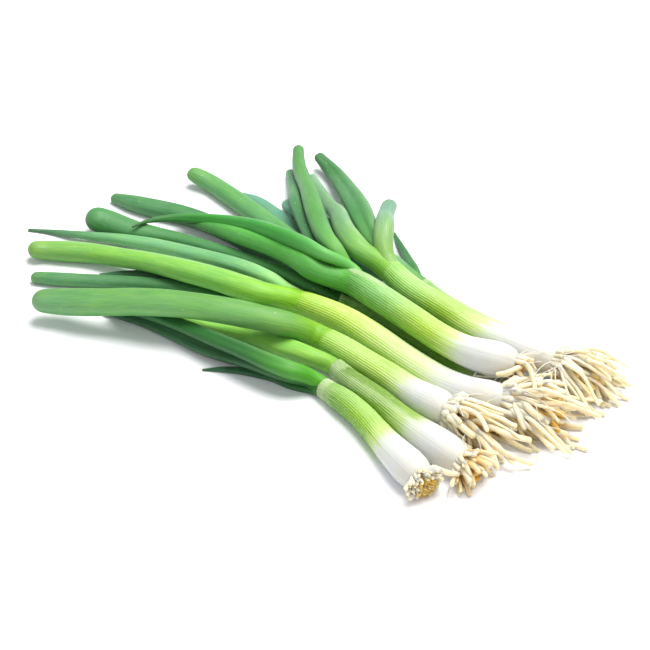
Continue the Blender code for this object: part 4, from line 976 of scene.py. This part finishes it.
    # short pale stubs round the plate, which hide the bulb's edge
    for k in range(34 if letter in "cd" else 6 if letter == "e" else 20):
        angle = 2.399963 * k * 1.7 + 3 * number
        radial = math.cos(angle) * across + math.sin(angle) * up
        p = centre - axis * 0.4 + radial * bulb * (0.76 + 0.10 * chance(k, number, 51))
        way = unit(0.9 * axis + 0.75 * radial + 0.5 * np.array([chance(k, number, i) - 0.5 for i in (52, 53, 54)]))
        radius = 0.8 + (1.5 if letter in "cd" else 0.8) * chance(k, number, 55)
        line = crooked(p, way, way, 1.5 + 6.0 * chance(k, number, 56), radius, stems, number, k + 300, 0.03, 0.10)
        root_tube(line, root_radii(len(line), radius, k + number * 30, 0.05), 10, np.broadcast_to(0.75 * white + 0.25 * blush, (len(line), 3)), out)
    # fine hair roots
    for k in range(12):
        angle = 2.399963 * k * 3 + number * 2
        radial = math.cos(angle) * across + math.sin(angle) * up
        p = centre + axis * 0.6 + radial * bulb * 0.8
        way = unit(axis + 1.1 * radial)
        line = crooked(p, way, way, look["length"] * (0.5 + 0.6 * chance(k, number, 21)), 0.3, stems, number, k + 700, 0.06, 0.16)
        root_tube(line, root_radii(len(line), 0.24 + 0.12 * chance(k, 3), k, 0.5), 6, np.broadcast_to(white, (len(line), 3)), out)
    # the single roots, each from the plate and along its own line
    for k, (owner, radius, points) in enumerate(SINGLE_ROOTS):
        if owner != letter:
            continue
        route = [sight_point(*p) for p in points]
        first = centre + axis * 1.2 + unit(route[0] - centre) * 0.35 * bulb
        line = spline(np.column_stack([np.array([first - axis * 1.0, first, *route]), np.zeros(len(route) + 2)]), 1.2)[:, :3]
        line = line + 0.22 * radius * np.column_stack([wave(along(line) * 0.5, k), wave(along(line) * 0.45, k + 3), wave(along(line) * 0.4, k + 5)])
        line[:, 2] = np.maximum(line[:, 2], radius + 0.05)
        here = along(line)
        colours = mixed(np.broadcast_to(0.6 * blush + 0.4 * white, (len(line), 3)), np.broadcast_to(0.5 * white + 0.5 * cream, (len(line), 3)), smoothstep((here - 1.0) / 8.0))
        root_tube(line, root_radii(len(line), radius, k + 900, 0.08), 14 if radius > 1 else 7, colours, out)
    return mesh_object(f"tuft_{letter}", np.concatenate(out["verts"]), out["faces"], mat,
                       dict(tint=np.concatenate(out["tint"]), skin=np.concatenate(out["skin"])))


# ------------------------------------------------------------------ materials


class Graph:
    """A material's nodes, made and joined in short calls."""

    def __init__(self, name):
        self.mat = bpy.data.materials.new(name)
        self.mat.use_nodes = True
        self.nodes, self.links = self.mat.node_tree.nodes, self.mat.node_tree.links
        self.shader = self.nodes["Principled BSDF"]

    def join(self, a, b):
        self.links.new(a, b)

    def add(self, kind, **props):
        node = self.nodes.new(kind)
        for key, value in props.items():
            setattr(node, key, value)
        return node

    def attribute(self, name, out="Fac"):
        return self.add("ShaderNodeAttribute", attribute_name=name).outputs[out]

    def stretched(self, along_scale, round_scale=1.0):
        """Skin coordinates, with their own scale along and round the strand."""
        node = self.add("ShaderNodeMapping")
        node.inputs["Scale"].default_value = (round_scale, round_scale, along_scale)
        self.join(self.attribute("skin", "Vector"), node.inputs["Vector"])
        return node.outputs["Vector"]

    def noise(self, vector, scale, detail=3.0, rough=0.5):
        node = self.add("ShaderNodeTexNoise")
        node.inputs["Scale"].default_value = scale
        node.inputs["Detail"].default_value = detail
        node.inputs["Roughness"].default_value = rough
        self.join(vector, node.inputs["Vector"])
        return node.outputs["Fac"]

    def spread(self, value, low, high, to_low=0.0, to_high=1.0):
        node = self.add("ShaderNodeMapRange")
        for key, x in (("From Min", low), ("From Max", high), ("To Min", to_low), ("To Max", to_high)):
            node.inputs[key].default_value = x
        self.join(value, node.inputs["Value"])
        return node.outputs["Result"]

    def mix(self, factor, a, b, how="MIX"):
        node = self.add("ShaderNodeMix", data_type="RGBA", blend_type=how)
        for socket, x in ((node.inputs[0], factor), (node.inputs[6], a), (node.inputs[7], b)):
            if isinstance(x, (int, float)):
                socket.default_value = x
            elif isinstance(x, tuple):
                socket.default_value = (*x, 1.0) if len(x) == 3 else x
            else:
                self.join(x, socket)
        return node.outputs[2]

    def maths(self, how, a, b):
        node = self.add("ShaderNodeMath", operation=how)
        for socket, x in zip(node.inputs, (a, b)):
            if isinstance(x, (int, float)):
                socket.default_value = x
            else:
                self.join(x, socket)
        return node.outputs[0]

    def bump(self, height, strength, distance):
        node = self.add("ShaderNodeBump")
        node.inputs["Strength"].default_value = strength
        node.inputs["Distance"].default_value = distance
        self.join(height, node.inputs["Height"])
        self.join(node.outputs["Normal"], self.shader.inputs["Normal"])

    def set(self, **values):
        for key, value in values.items():
            self.shader.inputs[key.replace("_", " ")].default_value = value


def lin(*colour):
    return tuple(float(x) for x in tone(colour))


def stem_material():
    g = Graph("stem_skin")
    tint = g.attribute("tint", "Color")
    fibre = g.noise(g.stretched(0.03), 2.6, 4.0, 0.6)
    fine = g.noise(g.stretched(0.04), 6.0, 2.0, 0.5)
    patch = g.noise(g.stretched(0.25), 0.35, 2.0, 0.5)
    green = g.attribute("green")
    film = g.attribute("film")
    dark = g.mix(g.maths("MULTIPLY", g.spread(fibre, 0.40, 0.64), 0.80), tint, g.mix(1.0, tint, (0.62, 0.80, 0.40), "MULTIPLY"))
    colour = g.mix(green, tint, dark)
    streak = g.maths("MULTIPLY", g.spread(fine, 0.52, 0.70), g.maths("MULTIPLY", green, 0.40))
    colour = g.mix(streak, colour, lin(222, 236, 180))
    colour = g.mix(g.spread(patch, 0.35, 0.70, 0.0, 0.22), colour, g.mix(1.0, colour, (0.88, 0.95, 0.78), "MULTIPLY"))
    wrinkle = g.noise(g.stretched(0.30), 1.6, 4.0, 0.6)
    pale = g.mix(g.spread(wrinkle, 0.30, 0.70), lin(160, 186, 122), lin(212, 224, 192))
    colour = g.mix(g.maths("MULTIPLY", film, 0.45), colour, pale)
    g.join(colour, g.shader.inputs["Base Color"])
    rough = g.spread(fibre, 0.25, 0.75, 0.34, 0.50)
    rough = g.maths("ADD", rough, g.maths("MULTIPLY", film, 0.10))
    g.join(rough, g.shader.inputs["Roughness"])
    height = g.maths("ADD", g.maths("MULTIPLY", fibre, 1.0), g.maths("MULTIPLY", fine, 0.4))
    g.bump(height, 0.35, 0.0003)
    g.set(Subsurface_Weight=0.25, Subsurface_Radius=(0.0030, 0.0034, 0.0014), Subsurface_Scale=1.0, Specular_IOR_Level=0.40, Coat_Weight=0.05, Coat_Roughness=0.30)
    return g.mat


def leaf_material():
    g = Graph("leaf_skin")
    tint = g.attribute("tint", "Color")
    fibre = g.noise(g.stretched(0.035), 2.4, 4.0, 0.6)
    cloud = g.noise(g.stretched(0.20), 0.45, 3.0, 0.55)
    wax = g.noise(g.stretched(0.12), 1.1, 4.0, 0.65)
    colour = g.mix(g.spread(fibre, 0.36, 0.64, 0.0, 0.75), tint, g.mix(1.0, tint, (0.60, 0.79, 0.58), "MULTIPLY"))
    colour = g.mix(g.spread(cloud, 0.48, 0.68, 0.0, 0.60), colour, g.mix(1.0, colour, (1.38, 1.16, 0.82), "MULTIPLY"))
    colour = g.mix(g.spread(cloud, 0.50, 0.32, 0.0, 0.35), colour, g.mix(1.0, colour, (0.78, 0.90, 0.92), "MULTIPLY"))
    # pale wax bloom, partly a painted sheen, over the leaf's colour
    bloom = g.attribute("bloom")
    colour = g.mix(g.maths("MULTIPLY", bloom, g.spread(wax, 0.35, 0.70, 0.05, 0.55)), colour, lin(140, 182, 156))
    spots = g.add("ShaderNodeTexVoronoi")
    spots.inputs["Scale"].default_value = 0.20
    g.join(g.stretched(0.55), spots.inputs["Vector"])
    fleck = g.spread(spots.outputs["Distance"], 0.035, 0.075, 0.75, 0.0)
    colour = g.mix(fleck, colour, lin(184, 206, 130))
    g.join(colour, g.shader.inputs["Base Color"])
    rough = g.spread(wax, 0.25, 0.75, 0.42, 0.58)
    g.join(rough, g.shader.inputs["Roughness"])
    g.bump(g.maths("ADD", fibre, g.maths("MULTIPLY", wax, 0.4)), 0.32, 0.0003)
    g.set(Subsurface_Weight=0.15, Subsurface_Radius=(0.0012, 0.0026, 0.0008), Subsurface_Scale=1.0, Specular_IOR_Level=0.38, Sheen_Weight=0.08, Sheen_Roughness=0.5, Sheen_Tint=(0.85, 0.95, 0.90, 1.0))
    return g.mat


def root_material():
    g = Graph("root_skin")
    tint = g.attribute("tint", "Color")
    grain = g.noise(g.stretched(0.5), 0.9, 4.0, 0.6)
    rings = g.noise(g.stretched(3.0), 1.3, 3.0, 0.5)
    colour = g.mix(g.spread(grain, 0.38, 0.72, 0.0, 0.50), tint, g.mix(1.0, tint, (0.96, 0.86, 0.60), "MULTIPLY"))
    colour = g.mix(g.spread(rings, 0.58, 0.72, 0.0, 0.25), colour, lin(196, 156, 92))
    g.join(colour, g.shader.inputs["Base Color"])
    g.join(g.spread(grain, 0.2, 0.8, 0.45, 0.62), g.shader.inputs["Roughness"])
    g.bump(g.maths("ADD", grain, g.maths("MULTIPLY", rings, 0.6)), 0.40, 0.0003)
    g.set(Subsurface_Weight=0.60, Subsurface_Radius=(0.0036, 0.0028, 0.0012), Subsurface_Scale=1.0, Specular_IOR_Level=0.40)
    return g.mat


def floor_and_light():
    mesh = bpy.data.meshes.new("floor")
    bm = bmesh.new()
    bmesh.ops.create_grid(bm, x_segments=1, y_segments=1, size=6.0)
    bm.to_mesh(mesh)
    bm.free()
    floor = bpy.data.objects.new("floor", mesh)
    bpy.context.scene.collection.objects.link(floor)
    g = Graph("floor_white")
    g.set(Base_Color=(0.91, 0.92, 0.96, 1.0), Roughness=0.9, Specular_IOR_Level=0.1, Emission_Color=(0.92, 0.95, 1.0, 1.0), Emission_Strength=0.05)
    mesh.materials.append(g.mat)
    world = bpy.data.worlds.new("studio")
    bpy.context.scene.world = world
    world.use_nodes = True
    world.node_tree.nodes["Background"].inputs["Color"].default_value = (1.0, 1.0, 1.0, 1.0)
    world.node_tree.nodes["Background"].inputs["Strength"].default_value = 0.42
    for name, spot, size, power, colour in (
        ("key", (0.04, 0.36, 1.20), 1.05, 25.0, (1.0, 0.99, 0.96)),
        ("fill", (0.9, -0.7, 0.9), 1.0, 2.4, (0.97, 0.99, 1.0)),
    ):
        light = bpy.data.lights.new(name, "AREA")
        light.shape, light.size, light.energy, light.color = "DISK", size, power, colour
        obj = bpy.data.objects.new(name, light)
        obj.location = spot
        obj.rotation_mode = "QUATERNION"
        obj.rotation_quaternion = (Vector((0, 0, 0.01)) - Vector(spot)).to_track_quat("-Z", "Y")
        bpy.context.scene.collection.objects.link(obj)


def camera():
    place, back, _, _ = eye()
    data = bpy.data.cameras.new("camera")
    data.lens, data.sensor_width, data.sensor_fit = 100.0, 36.0, "HORIZONTAL"
    data.clip_start, data.clip_end = 0.05, 20.0
    obj = bpy.data.objects.new("camera", data)
    obj.location = Vector((place - np.array(OFFSET)) * MM)
    obj.rotation_mode = "QUATERNION"
    obj.rotation_quaternion = Vector(-back).to_track_quat("-Z", "Y")
    bpy.context.scene.collection.objects.link(obj)
    bpy.context.scene.camera = obj


def build():
    drawn = lay()
    strands = settle(lay_out(drawn))
    by_name = {s.name: s for s in drawn}
    skins = dict(stem=stem_material(), leaf=leaf_material(), roots=root_material())
    stems = [(s.onion, s.points, s.width) for s in strands if s.kind == "stem"]
    for number, letter in enumerate(BUNCH):
        mine = [s for s in strands if s.onion == number]
        stem, leaves = mine[0], [s for s in mine if s.kind == "leaf"]
        made = [(stem_look(letter, stem, leaves[0], skins["stem"]), stem.name, "stem")]
        for leaf in leaves:
            made.append((leaf_look(leaf, leaf.full, stem, skins["leaf"]), leaf.name, "leaf"))
        made.append((tuft_look(letter, stem, stems, skins["roots"]), f"onion_{letter}_roots", "roots"))
        for obj, node, slot in made:
            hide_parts(node)
            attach(obj, "root")


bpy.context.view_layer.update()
floor_and_light()
camera()
build()
bpy.context.scene.view_settings.view_transform = "Standard"
bpy.context.view_layer.update()
